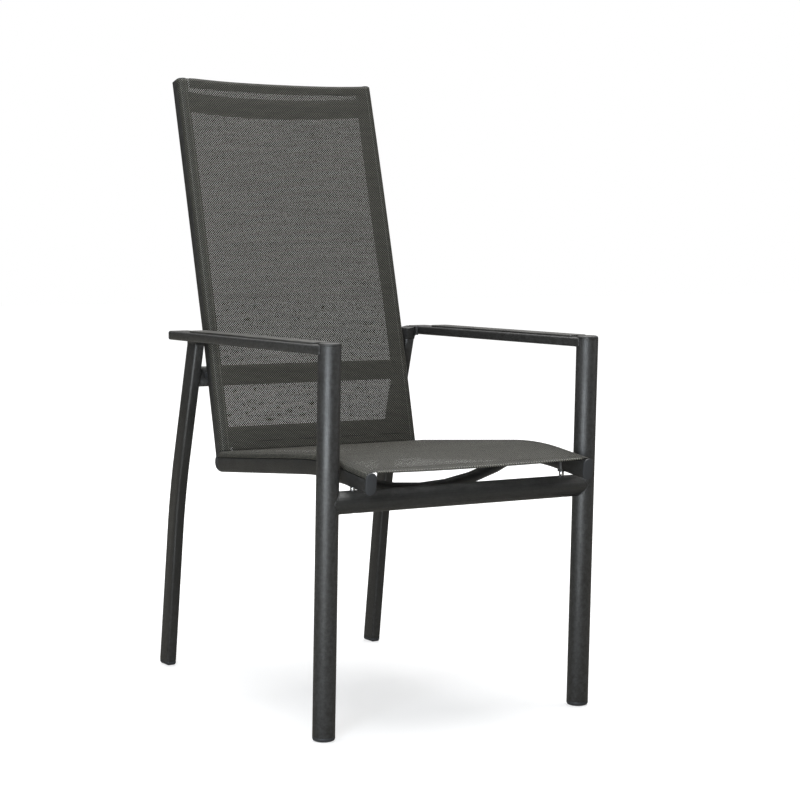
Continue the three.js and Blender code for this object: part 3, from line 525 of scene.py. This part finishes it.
def make_thread(name, dark, light):
    """Twisted thread, flecked where its fibres catch the light."""
    rough = 0.6
    material, tree, shader = new_finish(name, dark, rough, 0.3)
    grain = group_node(tree, "fine grain", Scale=2500.0)
    flecked = blend_colour(tree, grain["Speckle"], dark, light)
    enrich(tree, shader, flecked, rough, grain["Height"], 0.4, 0.2 * mm)
    return material


dark_thread = make_thread("dark_thread", (0.004, 0.004, 0.0036), (0.012, 0.012, 0.011))
grey_thread = make_thread("grey_thread", (0.12, 0.118, 0.105), (0.2, 0.196, 0.175))
pale_thread = make_thread("pale_thread", (0.3, 0.295, 0.26), (0.42, 0.41, 0.37))
print("finishes:", [m.name for m in bpy.data.materials])

# %% [markdown]
# ## The metal and plastic parts
# The drawn parts have dead sharp edges, which never catch the light. A copy of each one is
# merged, its flat faces are joined up again, its edges get a small round, and its round faces are
# shaded smooth. The radius is what the real part has: small on cut tube ends, larger on
# castings.

# %% Soften the drawn parts
smooth_angle = math.radians(32)
edge_angle = math.radians(38)
flat_angle = math.radians(0.5)
same_point = 0.01 * mm
edge_segments = 2


def softened(node, name, finish, radius):
    """A copy of a drawn part with rounded edges, which stands for it."""
    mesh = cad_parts[node].data.copy()
    mesh.materials.clear()
    piece = into_scene(name, mesh)
    work_on(piece)
    if mesh.has_custom_normals:
        bpy.ops.mesh.customdata_custom_splitnormals_clear()
    bpy.ops.object.mode_set(mode="EDIT")
    bpy.ops.mesh.select_all(action="SELECT")
    bpy.ops.mesh.remove_doubles(threshold=same_point)
    bpy.ops.mesh.dissolve_limited(angle_limit=flat_angle)
    bpy.ops.object.mode_set(mode="OBJECT")
    edge = piece.modifiers.new("edge", "BEVEL")
    edge.width = radius
    edge.segments = edge_segments
    edge.limit_method = "ANGLE"
    edge.angle_limit = edge_angle
    edge.use_clamp_overlap = True
    apply_modifiers(piece)
    bpy.ops.object.shade_smooth_by_angle(angle=smooth_angle)
    mesh = piece.data
    mesh.materials.clear()
    mesh.materials.append(finish)
    # The drawn parts' plain materials have these names too, so Blender adds a number after a dot.
    return belongs(piece, finish.name.split(".")[0], node)


# Each row: drawn part, name of the softened one, finish, radius in millimetres.
part_list = [
    ("front_leg", "front_leg_tube", powder_coat, 0.3),
    ("front_leg_cap", "front_leg_top", powder_coat, 0.3),
    ("front_glide", "front_foot_glide", plug_plastic, 0.4),
    ("rear_leg", "rear_leg_tube", powder_coat, 0.3),
    ("rear_leg_head", "rear_leg_casting", cast_coat, 0.8),
    ("rear_glide", "rear_foot_glide", plug_plastic, 0.4),
    ("arm", "arm_tube", powder_coat, 0.3),
    ("arm_end_cap", "arm_plug", plug_plastic, 0.3),
    ("arm_pad", "arm_rest_pad", arm_pad, 0.4),
    ("seat_rail", "seat_side_rail", powder_coat, 0.25),
    ("seat_rail_front_cap", "seat_rail_front_plug", plug_plastic, 0.3),
    ("seat_rail_rear_cap", "seat_rail_rear_plug", plug_plastic, 0.3),
    ("seat_edge_rod", "seat_welt_rod", rod_plastic, 0.2),
    ("seat_spacer", "seat_bolt_spacer", stainless, 0.2),
    ("seat_bolt", "seat_bolt_steel", stainless, 0.3),
    ("back_rail", "back_side_rail", powder_coat, 0.25),
    ("back_rail_cap", "back_rail_plug", plug_plastic, 0.3),
    ("back_edge_rod", "back_welt_rod", rod_plastic, 0.2),
    ("back_spacer", "back_bolt_spacer", plug_plastic, 0.3),
    ("back_bolt", "back_bolt_steel", stainless, 0.3),
    ("corner_bracket", "corner_casting", cast_coat, 0.8),
]
dressed = {}
for node, name, finish, radius in part_list:
    for side in sides:
        dressed[f"{node}_{side}"] = softened(
            f"{node}_{side}", f"{name}_{side}", finish, radius * mm)
for side in sides:
    for number in (1, 2):
        node = f"bracket_screw_{side}_{number}"
        name = f"casting_screw_{side}_{number}"
        dressed[node] = softened(node, name, stainless, 0.3 * mm)
for node, name in (
    ("front_crossbar", "front_cross_tube"),
    ("lumbar_crossbar", "lumbar_cross_tube"),
    ("seat_front_stretcher", "seat_bow_tube"),
    ("seat_rear_stretcher", "seat_rear_tube"),
    ("back_top_bar", "back_top_tube"),
    ("back_bottom_bar", "back_bottom_tube"),
):
    dressed[node] = softened(node, name, powder_coat, 0.3 * mm)
face_count = sum(len(piece.data.polygons) for piece in dressed.values())
print("softened parts:", len(dressed), "faces:", face_count)

# %% [markdown]
# ## The lines that the slings follow
# Each sling is stretched between two rails and follows their line: the seat rails rise to the
# front, roll over and dip, and the back rails lean back with a slight bow. A line is a list of
# stations, each with a place on the rail's centre line and the direction that the cloth faces
# there.

# %% Rail lines
def rail_line(start, lean, stretches, along, across):
    """Stations along a rail. A stretch is a straight length, or a radius and a turn."""
    stations = [(0.0, 0.0, lean)]
    for stretch in stretches:
        s, t, lean = stations[-1]
        if stretch[0] == "straight":
            _, length, count = stretch
            for i in range(1, count + 1):
                step = length * i / count
                stations.append((s + step * math.cos(lean), t + step * math.sin(lean), lean))
        else:
            _, radius, turn, count = stretch
            signed = math.copysign(radius, turn)
            for i in range(1, count + 1):
                here = lean + turn * i / count
                stations.append((
                    s + signed * (math.sin(here) - math.sin(lean)),
                    t - signed * (math.cos(here) - math.cos(lean)),
                    here,
                ))
    line = []
    for s, t, lean in stations:
        facing = across * math.cos(lean) - along * math.sin(lean)
        line.append((start + along * s + across * t, facing))
    return line


seat_rail_x = (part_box("seat_rail_right")[0].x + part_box("seat_rail_right")[1].x) / 2
back_rail_x = (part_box("back_rail_right")[0].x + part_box("back_rail_right")[1].x) / 2
forward_way, upward_way = Vector((0, -1, 0)), Vector((0, 0, 1))
seat_start = Vector((0, 142.67 * mm, 409.6 * mm))
seat_rise, seat_dip = math.radians(5.5), math.radians(6.5)
seat_straight, front_roll, front_straight = 310.46 * mm, 640 * mm, 81 * mm
seat_line = rail_line(
    seat_start, seat_rise,
    [("straight", seat_straight, 60), ("bend", front_roll, -(seat_rise + seat_dip), 30),
     ("straight", front_straight, 27)],
    forward_way, upward_way)
back_start = Vector((0, 174.67 * mm, 422 * mm))
back_lean = math.radians(13.4)
back_length, back_bow = 707 * mm, 13000 * mm
back_line = rail_line(
    back_start, -back_lean, [("bend", back_bow, -back_length / back_bow, 140)],
    upward_way, forward_way)
print("rails at x", round(seat_rail_x, 4), round(back_rail_x, 4))
print("sling rows:", len(seat_line), len(back_line))

# %% [markdown]
# ## Cloth across the rails
# Seen across the chair, each sling lies flat between the rails, turns round the half-round nose
# of each rail, runs a little way down its outer side and tucks into the channel, where the welt
# rod holds it. The sheet is built row by row along the rail line, because its form is exactly
# where tension pulls it, and a simulation would only find the same shape. The UV map is laid in
# metres as the cloth was cut, so the weave runs round the rails without stretching.

# %% The section of a sling
rail_nose = 10 * mm
nose_centre = 8 * mm
main_radius = rail_nose + 1.32 * mm
lining_radius = rail_nose + 0.73 * mm
main_tuck = 8.72 * mm
lining_tuck = 9.28 * mm
tuck_reach = 7.7 * mm
tuck_bend, tuck_turn = 0.9 * mm, 0.05
nose_steps = 12
back_columns, seat_columns = 64, 72


def wrap(edge, radius, tuck_height):
    """Points (x, height) from the right channel up round the rail's nose to its top."""
    start = math.asin((tuck_height - nose_centre) / radius)
    points = [(edge + tuck_reach, tuck_height), (edge + radius - tuck_bend, tuck_height)]
    for i in range(nose_steps + 1):
        angle = start + (math.pi / 2 - start) * i / nose_steps
        if i == 0:
            angle += tuck_turn  # rounds the corner where the cloth turns into the channel
        points.append((edge + radius * math.cos(angle), nose_centre + radius * math.sin(angle)))
    return points


def measured(points):
    """Adds to each point its distance along the section."""
    total = 0.0
    out = []
    for i, point in enumerate(points):
        if i:
            total += math.dist(point, points[i - 1])
        out.append((*point, total))
    return out


def main_section(edge, columns):
    """The whole cloth, from channel to channel: (x, height, distance from the middle)."""
    right_half = wrap(edge, main_radius, main_tuck)
    top = nose_centre + main_radius
    flat = [(edge - 2 * edge * i / columns, top) for i in range(1, columns)]
    left_half = [(-x, h) for x, h in reversed(right_half)]
    section = measured(right_half + flat + left_half)
    half = section[-1][2] / 2
    return [(x, h, half - run) for x, h, run in section]


def lining_section(edge, reach, side):
    """The second layer of a side hem: from the channel to a little way in from the rail."""
    right_half = wrap(edge, lining_radius, lining_tuck)
    top = nose_centre + lining_radius
    flat_steps = 3
    flat = [(edge - reach * i / flat_steps, top) for i in range(1, flat_steps + 1)]
    section = measured(right_half + flat)
    half = edge + section[len(right_half) - 1][2]
    return [(side * x, h, side * (half - run)) for x, h, run in section]


back_section = main_section(back_rail_x, back_columns)
seat_section = main_section(seat_rail_x, seat_columns)
print("cloth width of the back:", round(2 * back_section[0][2], 4), "m")
print("cloth width of the seat:", round(2 * seat_section[0][2], 4), "m")

# %% [markdown]
# ## Laying the cloth
# A sheet is a grid of points with a face between every four neighbours. The section says where a
# point lies across the chair, and the station says where along it. The sheet is made thin first
# and then thickened evenly to both sides, which also closes its cut edges.

# %% Lay a sheet over a grid of points
cloth_thickness = 0.55 * mm


def lay_sheet(name, rows, cloth, flip=False):
    """Makes a sheet from rows of (place, across, along), with its UV map and its thickness."""
    mesh = bmesh.new()
    uv = mesh.loops.layers.uv.new("cloth")
    grid = [[mesh.verts.new(place) for place, _, _ in row] for row in rows]
    for r in range(len(rows) - 1):
        for c in range(len(rows[r]) - 1):
            corners = [(r, c), (r, c + 1), (r + 1, c + 1), (r + 1, c)]
            if flip:
                corners.reverse()
            face = mesh.faces.new([grid[a][b] for a, b in corners])
            face.smooth = True
            for loop, (a, b) in zip(face.loops, corners):
                loop[uv].uv = rows[a][b][1:]
    data = bpy.data.meshes.new(name)
    mesh.to_mesh(data)
    mesh.free()
    data.materials.append(cloth)
    piece = into_scene(name, data)
    wall = piece.modifiers.new("thickness", "SOLIDIFY")
    wall.thickness = cloth_thickness
    wall.offset = 0
    apply_modifiers(piece)
    return piece


def along_line(line):
    """Distance along a rail line at each station."""
    total = [0.0]
    for (a, _), (b, _) in zip(line, line[1:]):
        total.append(total[-1] + (b - a).length)
    return total


def cloth_rows(line, section, give):
    """Places every point of a section at every station. give(x, run) moves a point (along, out)."""
    runs = along_line(line)
    rows = []
    for i, (place, facing) in enumerate(line):
        before, after = line[max(i - 1, 0)][0], line[min(i + 1, len(line) - 1)][0]
        ahead = (after - before).normalized()
        row = []
        for x, height, across in section:
            slide, lift = give(x, runs[i])
            point = place + Vector((x, 0, 0)) + facing * (height + lift) + ahead * slide
            row.append((point, across, runs[i] + slide))
        rows.append(row)
    return rows


# %% [markdown]
# ## The back sling
# The rails pull the cloth sideways only, so its free top edge draws in: it hangs about five
# millimetres lower in the middle than at the rails, and the pull fades out a hand's width down.
# The bottom edge hardly moves, as the seat is close under it.

# %% Make the back sling
back_end = along_line(back_line)[-1]
top_draw, bottom_draw = 5.3 * mm, 0.8 * mm
back_hollow = 1.2 * mm
draw_reach, fade_steepness = 90 * mm, 1.2
bay_fullness = 2.6
off_centre = 12 * mm


def bay(x, edge):
    """0 at the rails and 1 in the middle."""
    inside = min(abs(x) / (edge - rail_nose), 1.0)
    return 1 - inside ** bay_fullness


def fading(distance):
    """1 at a free edge, and fading to 0 over the reach of the pull."""
    return math.exp(-(distance / draw_reach) ** fade_steepness)


def back_give(x, run):
    """How far the back's cloth slides along the rails, and how far it lifts off their line."""
    share = bay(x - off_centre, back_rail_x)
    slide = share * (bottom_draw * fading(run) - top_draw * fading(back_end - run))
    lift = -back_hollow * bay(x, back_rail_x) * math.sin(math.pi * run / back_end)
    return slide, lift


back_rows = cloth_rows(back_line, back_section, back_give)
back_cloth = lay_sheet("back_sling_cloth", back_rows, mesh_cloth)
belongs(back_cloth, "mesh_fabric", "back_sling")
print("back sling faces:", len(back_cloth.data.polygons))

# %% [markdown]
# ## The seat sling
# The seat cloth is drawn the same way, and sits a touch hollow between the rails. Nothing holds
# its front edge up, so the hem rolls down a few millimetres and shows its stitching.

# %% Make the seat sling
seat_end = along_line(seat_line)[-1]
front_draw, rear_draw = 3.5 * mm, 1 * mm
seat_hollow = 2.5 * mm
front_droop, droop_reach, droop_curve = 3.6 * mm, 20 * mm, 1.6


def seat_give(x, run):
    """The same for the seat's cloth, with its front hem rolled down."""
    share = bay(x, seat_rail_x)
    slide = share * (rear_draw * fading(run) - front_draw * fading(seat_end - run))
    lift = -seat_hollow * share * math.sin(math.pi * run / seat_end)
    near_front = max(0.0, 1 - (seat_end - run) / droop_reach)
    lift -= front_droop * share * near_front ** droop_curve
    return slide, lift


seat_rows = cloth_rows(seat_line, seat_section, seat_give)
seat_cloth = lay_sheet("seat_sling_cloth", seat_rows, mesh_cloth)
belongs(seat_cloth, "mesh_fabric", "seat_sling")
print("seat sling faces:", len(seat_cloth.data.polygons))

# %% [markdown]
# ## Side hems
# Down each side the cloth is folded back under itself before it is sewn, which makes the pocket
# for the welt rod, and that second layer ends on top of the rail. Doubled cloth lets less light
# through, so the hems read as darker bands round the slings, as they do in the photograph. The
# second layer is a sheet of its own that follows the first one.

# %% Side hems
lining_reach = 6 * mm
slings = {
    "back": (back_line, back_rail_x, back_give),
    "seat": (seat_line, seat_rail_x, seat_give),
}
hems = {"back": [], "seat": []}
for label, (line, edge, give) in slings.items():
    for side, sign in sides.items():
        rows = cloth_rows(line, lining_section(edge, lining_reach, sign), give)
        hem = lay_sheet(f"{label}_side_hem_{side}", rows, hem_cloth, flip=sign < 0)
        belongs(hem, "mesh_fabric")
        hems[label].append(hem)
print("side hems:", [h.name for pair in hems.values() for h in pair])

# %% [markdown]
# ## End hems
# The free ends of each sling are folded under once and sewn, so that the cut yarns can't fray.
# The fold is a half round as wide as two layers are thick, and the turned-in cloth then runs back
# under the sling. The seat's front hem is folded round a little fuller, as thighs rest on it.

# %% End hems
hem_columns, fold_steps = 60, 6
hem_clearance = 0.8 * mm
thin_fold, full_fold = 0.62 * mm, 0.9 * mm


def end_hem(name, line, edge, give, at_end, depth, fold):
    """A hem turned under at one end of a sling: a half-round fold, then back along the cloth."""
    runs = along_line(line)
    stations = list(range(len(line)))
    if at_end:
        stations.reverse()
    end_run = runs[stations[0]]
    inner = edge - rail_nose - hem_clearance
    rows = []
    place, facing = line[stations[0]]
    beyond = (line[stations[0]][0] - line[stations[1]][0]).normalized()
    cut = 0.0
    level = nose_centre + main_radius
    for i in range(fold_steps + 1):
        angle = math.pi * i / fold_steps
        out, down = fold * math.sin(angle), fold * (1 - math.cos(angle))
        rows.append((place + beyond * out, facing, down, end_run, cut))
        cut += fold * math.pi / fold_steps
    for k in stations[1:]:
        back = abs(runs[k] - end_run)
        last = back > depth
        here, facing = line[k]
        if last:
            before = k + 1 if at_end else k - 1
            share = (depth - abs(runs[before] - end_run)) / abs(runs[k] - runs[before])
            here = line[before][0].lerp(here, share)
            back = depth
        rows.append((here, facing, 2 * fold, end_run + (-back if at_end else back), cut + back))
        if last:
            break
    sheet = []
    for place, facing, down, run, cut in rows:
        row = []
        for c in range(hem_columns + 1):
            x = inner - 2 * inner * c / hem_columns
            slide, lift = give(x, run)
            ahead = beyond if at_end else -beyond
            point = place + Vector((x, 0, 0)) + facing * (level + lift - down) + ahead * slide
            row.append((point, x, cut))
        sheet.append(row)
    return lay_sheet(name, sheet, hem_cloth, flip=at_end)


for label, name, at_end, depth, fold in (
    ("back", "back_top_hem", True, 18 * mm, thin_fold),
    ("back", "back_bottom_hem", False, 18 * mm, thin_fold),
    ("seat", "seat_front_hem", True, 20 * mm, full_fold),
    ("seat", "seat_rear_hem", False, 20 * mm, thin_fold),
):
    line, edge, give = slings[label]
    hem = end_hem(name, line, edge, give, at_end, depth, fold)
    belongs(hem, "mesh_fabric")
    hems[label].append(hem)
print("end hems:", [h.name for pair in hems.values() for h in pair if "side" not in h.name])

# %% [markdown]
# ## One stitch
# Every hem is sewn with lockstitch in a bonded thread, a stitch about every four millimetres. One
# stitch is modelled as a short bar of thread whose ends dive into the cloth, and is then copied
# along each seam. A small shape that is repeated this often needs only a few faces.

# %% Model one stitch
stitch_length, stitch_pitch, thread_width = 3.1 * mm, 4.2 * mm, 0.7 * mm
bar_share, dive_share = 0.6, 0.2
dive_depth = 0.45 * thread_width
tip_size, end_normal = 0.5, 0.9


def make_stitch():
    """A six-sided bar along Y, with an end extruded down into the cloth at each side."""
    bpy.ops.object.select_all(action="DESELECT")
    bpy.ops.mesh.primitive_cylinder_add(
        vertices=6, radius=thread_width / 2, depth=stitch_length * bar_share,
        rotation=(math.pi / 2, 0, 0))
    stitch = bpy.context.object
    finish_place(stitch)
    bpy.ops.object.mode_set(mode="EDIT")
    for way in (-1, 1):
        bpy.ops.mesh.select_all(action="DESELECT")
        shape = bmesh.from_edit_mesh(stitch.data)
        for face in shape.faces:
            face.select = face.normal.y * way > end_normal
        bmesh.update_edit_mesh(stitch.data)
        bpy.ops.mesh.extrude_region_move(TRANSFORM_OT_translate={
            "value": (0, way * stitch_length * dive_share, -dive_depth)})
        bpy.ops.transform.resize(value=(tip_size, tip_size, tip_size))
    bpy.ops.object.mode_set(mode="OBJECT")
    bpy.ops.object.shade_smooth()
    return stitch


stitch = make_stitch()
print("faces in a stitch:", len(stitch.data.polygons))

# %% [markdown]
# ## Seams
# A seam is the one stitch copied to a list of places. Three rows run down each rail: one round
# the nose and one on top in grey thread, and one at the second layer's edge in dark thread. A
# dark row holds each end hem. Along the seat's front edge a thick pale zigzag binds the fold. The
# stitches follow the same give as the cloth, so they stay on it.

# %% Sew the seams
end_inset, seam_clearance = 16 * mm, 2 * mm
zigzag_inset, zigzag_pitch, zigzag_swing = 2.2 * mm, 5.2 * mm, math.radians(42)
zigzag_stoutness = 1.9


def sew(name, places, finish, stout=1.0):
    """Copies the stitch to every (place, ahead, facing) of a seam. stout thickens the thread."""
    seam = bmesh.new()
    for place, ahead, facing in places:
        across = ahead.cross(facing).normalized()
        turn = Matrix((across, ahead, facing)).transposed().to_4x4()
        copy = stitch.data.copy()
        copy.transform(Matrix.Translation(place) @ turn @ Matrix.Diagonal((stout, 1, stout, 1)))
        seam.from_mesh(copy)
        bpy.data.meshes.remove(copy)
    data = bpy.data.meshes.new(name)
    seam.to_mesh(data)
    seam.free()
    piece = into_scene(name, data)
    piece.data.materials.append(finish)
    return belongs(piece, "mesh_fabric")


def at_run(line, runs, run):
    """Place, direction and facing of a rail line at a distance along it."""
    for i in range(1, len(line)):
        if runs[i] >= run or i == len(line) - 1:
            share = (run - runs[i - 1]) / (runs[i] - runs[i - 1])
            (a, fa), (b, fb) = line[i - 1], line[i]
            return a.lerp(b, share), (b - a).normalized(), fa.lerp(fb, share).normalized()


def side_seam(line, edge, give, sign, offset):
    """Stitches along a rail. A positive offset is an angle down the nose, a negative one is a
    distance in from the rail's centre line."""
    runs = along_line(line)
    surface = main_radius + cloth_thickness / 2
    places = []
    run = stitch_pitch
    while run < runs[-1] - stitch_pitch:
        here, ahead, facing = at_run(line, runs, run)
        out = Vector((sign, 0, 0))
        if offset > 0:
            normal = facing * math.cos(offset) + out * math.sin(offset)
            x = edge
        else:
            normal = facing
            x = edge + offset
        slide, lift = give(sign * x, run)
        place = here + out * x + facing * (nose_centre + lift) + normal * surface + ahead * slide
        places.append((place, ahead, normal))
        run += stitch_pitch
    return places


def end_seam(line, edge, give, run, pitch=stitch_pitch, swing=0.0):
    """Stitches across a sling, a set way along it. A swing turns them to and fro in a zigzag."""
    runs = along_line(line)
    surface = nose_centre + main_radius + cloth_thickness / 2
    inner = edge - rail_nose - seam_clearance
    count = round(2 * inner / pitch)
    here, ahead, facing = at_run(line, runs, run)
    places = []
    for i in range(count):
        x = -inner + (i + 0.5) * 2 * inner / count
        slide, lift = give(x, run)
        place = here + Vector((x, 0, 0)) + facing * (surface + lift) + ahead * slide
        turned = Matrix.Rotation(swing if i % 2 else -swing, 3, facing) @ Vector((1, 0, 0))
        places.append((place, turned, facing))
    return places


side_rows = (
    ("outer", math.radians(40), grey_thread),
    ("top", -2.4 * mm, grey_thread),
    ("inner", -4.8 * mm, dark_thread),
)
for label, (line, edge, give) in slings.items():
    for side, sign in sides.items():
        for row, offset, finish in side_rows:
            places = side_seam(line, edge, give, sign, offset)
            hems[label].append(sew(f"{label}_{row}_seam_{side}", places, finish))
    end = along_line(line)[-1]
    places = end_seam(line, edge, give, end_inset) + end_seam(line, edge, give, end - end_inset)
    hems[label].append(sew(f"{label}_end_seams", places, dark_thread))
zigzag = end_seam(
    seat_line, seat_rail_x, seat_give, seat_end - zigzag_inset, zigzag_pitch, zigzag_swing)
hems["seat"].append(sew("seat_front_zigzag", zigzag, pale_thread, zigzag_stoutness))
bpy.data.objects.remove(stitch)
print("stitched pieces:", [h.name for pair in hems.values() for h in pair if "seam" in h.name])

# %% [markdown]
# ## Welds
# The crossbars, arms and stretchers are welded where they meet the legs and rails. A weld is a
# bead that fills the corner all round, with a faint ripple where the torch moved on. A plain ring
# would miss the saddle shape where round meets round, so the bead follows the real end of each
# tube: the points of the drawn tube that nearly touch the other part are sorted round its axis,
# and a curve with a round section runs through them. The paint goes over the welds.

# %% Weld the tubes
weld_gap = 1.2 * mm
points_round = 24
ripple_length, ripple_thin = 1.6 * mm, 0.88


def weld(name, tube, onto, axis, bead):
    """A bead of the given radius round the end of a tube that runs along the given axis. Returns
    the number of drawn points that it follows."""
    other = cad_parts[onto].data
    skin = BVHTree.FromPolygons(
        [v.co for v in other.vertices], [tuple(p.vertices) for p in other.polygons])
    touching = [v.co.copy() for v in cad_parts[tube].data.vertices
                if skin.find_nearest(v.co, weld_gap)[0] is not None]
    low = Vector([min(p[i] for p in touching) for i in range(3)])
    high = Vector([max(p[i] for p in touching) for i in range(3)])
    centre = (low + high) / 2
    a, b = [i for i in range(3) if i != axis]
    rim = {}
    for point in touching:
        off = point - centre
        angle = math.atan2(off[b], off[a])
        key = round(angle / (2 * math.pi) * points_round) % points_round
        reach = math.hypot(off[a], off[b])
        if key not in rim or reach > rim[key][0]:
            rim[key] = (reach, angle, point)
    ring = [point for _, _, point in sorted(rim.values(), key=lambda entry: entry[1])]
    data = bpy.data.curves.new(name, "CURVE")
    data.dimensions = "3D"
    data.bevel_depth = bead
    data.bevel_resolution = 2
    path = []
    for i, here in enumerate(ring):
        there = ring[(i + 1) % len(ring)]
        pieces = max(1, round((there - here).length / ripple_length))
        path += [here.lerp(there, k / pieces) for k in range(pieces)]
    spline = data.splines.new("POLY")
    spline.points.add(len(path) - 1)
    for i, point in enumerate(path):
        spline.points[i].co = (*point, 1)
        spline.points[i].radius = 1.0 if i % 2 else ripple_thin
    spline.use_cyclic_u = True
    work_on(into_scene(name, data))
    bpy.ops.object.convert(target="MESH")
    piece = bpy.context.object
    bpy.ops.object.shade_smooth()
    piece.data.materials.clear()
    piece.data.materials.append(powder_coat)
    belongs(piece, "powder_coat")
    return len(ring)


for side in sides:
    for tube, onto, axis, bead in (
        ("front_crossbar", "front_leg", 0, 1.1 * mm),
        (f"arm_{side}", "front_leg", 1, 1.0 * mm),
        ("lumbar_crossbar", "rear_leg", 0, 1.5 * mm),
        ("seat_front_stretcher", "seat_rail", 0, 1.4 * mm),
        ("seat_rear_stretcher", "seat_rail", 0, 1.4 * mm),
        ("back_top_bar", "back_rail", 0, 1.4 * mm),
        ("back_bottom_bar", "back_rail", 0, 1.4 * mm),
    ):
        name = f"weld_{tube.removesuffix('_' + side)}_{side}"
        print(name, "points round:", weld(name, tube, f"{onto}_{side}", axis, bead))

# %% [markdown]
# ## Floor and light
# A studio picture on white: the floor and the world are white to the camera, and the floor
# still takes a soft shadow. A white floor all round would also mirror in the satin paint and
# wash the dark frame out, so in reflections the floor is dim and warm. Only far out towards the
# main lamp it has a bright pool, which carries the highlight down the lower legs.

# %% The floor
floor_size, floor_drop = 30, 0.4 * mm
pool_way, across_pool, pool_strength = (-0.72, -0.694, 0), (0.694, -0.72, 0), 5.0


def seen_how(tree):
    """1 where the camera looks straight or through a hole, and 1 where it sees a reflection."""
    path = tree.nodes.new("ShaderNodeLightPath").outputs
    clear = maths(tree, "MAXIMUM", path["Is Camera Ray"], path["Is Transmission Ray"])
    return clear, path["Is Glossy Ray"]


bpy.ops.object.select_all(action="DESELECT")
bpy.ops.mesh.primitive_plane_add(size=floor_size, location=(0, 0, -floor_drop))
floor = bpy.context.object
floor.name = "studio_floor"
finish_place(floor)
seen_floor, mirrored_floor = (0.45, 0.45, 0.45), (0.05, 0.05, 0.05)
white_glow, warm_glow = (1, 1, 1), (1, 0.965, 0.82)
floor_paint, tree, paint = new_finish("studio_floor", seen_floor, 0.9, 0.1)
clear, in_mirror = seen_how(tree)
place = object_place(tree)
away = vector_maths(tree, "LENGTH", place)
out_to_lamp = ramp(tree, vector_maths(tree, "DOT_PRODUCT", place, pool_way), 0.9, 3.2)
aside = maths(tree, "ABSOLUTE", vector_maths(tree, "DOT_PRODUCT", place, across_pool))
pool = times(tree, out_to_lamp, ramp(tree, aside, 0.35, 0.8, 1.0, 0.0), pool_strength)
mirrored = maths(tree, "ADD", pool, ramp(tree, away, 0.8, 2.4, 0.2, 0.3))
looked_at = times(tree, clear, ramp(tree, away, 0.6, 1.9, 0.6, 0.9))
feed(tree, paint, {
    "Base Color": blend_colour(tree, in_mirror, seen_floor, mirrored_floor),
    "Emission Color": blend_colour(tree, in_mirror, white_glow, warm_glow),
    "Emission Strength": maths(tree, "MAXIMUM", looked_at, times(tree, in_mirror, mirrored)),
})
floor.data.materials.append(floor_paint)
print("floor:", floor.name, floor_size, "m")

# %% [markdown]
# ## The world
# The world is the white wall of the studio. The camera sees it plain white, and so does a look
# through a hole in the cloth. In reflections it is bright only high up at the back, like a window
# behind the chair, and its plain light on everything is weak, so that the lamps shape the tubes.

# %% The world
window_way, world_light = (0.4, 0.75, 0.53), 0.3
world = bpy.data.worlds.new("studio")
bpy.context.scene.world = world
world.use_nodes = True
tree = world.node_tree
clear, in_mirror = seen_how(tree)
direction = tree.nodes.new("ShaderNodeTexCoord").outputs["Generated"]
behind = vector_maths(tree, "DOT_PRODUCT", direction, window_way)
window = ramp(tree, behind, 0.2, 0.75, 0.2, 1.0)
high_up = ramp(tree, axes(tree, direction)["Z"], 0.2, 0.65, 0.04, 1.0)
white = maths(tree, "MAXIMUM", clear, times(tree, in_mirror, window, high_up))
other = maths(tree, "SUBTRACT", 1.0, maths(tree, "MAXIMUM", clear, in_mirror))
strength = maths(tree, "ADD", white, times(tree, other, world_light))
feed(tree, tree.nodes["Background"], {"Color": (1, 1, 1, 1), "Strength": strength})
print("world:", world.name, "plain light", world_light)

# %% [markdown]
# ## The lamps
# Large softboxes give soft shadows and long even highlights. The tall one at the front left draws
# the line down each leg and is a little cool. A weak one at the right opens the shadows. The big
# one hangs far above, so that the back's top is hardly lighter than the seat.

# %% The lamps
def lamp(name, place, target, width, height, power, tint=(1, 1, 1)):
    """A rectangular softbox that looks at a target. Power is in watts."""
    bpy.ops.object.select_all(action="DESELECT")
    bpy.ops.object.light_add(type="AREA", location=place)
    light = bpy.context.object
    light.name = name
    light.rotation_euler = (Vector(target) - Vector(place)).to_track_quat("-Z", "Y").to_euler()
    light.data.shape = "RECTANGLE"
    light.data.size = width
    light.data.size_y = height
    light.data.energy = power
    light.data.color = tint
    light.visible_camera = False


middle, arm_level = (0, 0, 0.55), (0, 0, 0.7)
cool = (0.86, 0.93, 1.0)
lamp("front_left_softbox", (-2.45, -2.36, 1.0), arm_level, 1.15, 2.0, 108, cool)
lamp("right_fill", (3.4, -2.2, 1.8), middle, 2.0, 2.0, 12)
lamp("top_softbox", (0.3, 0.1, 6.4), middle, 4.8, 4.8, 575)
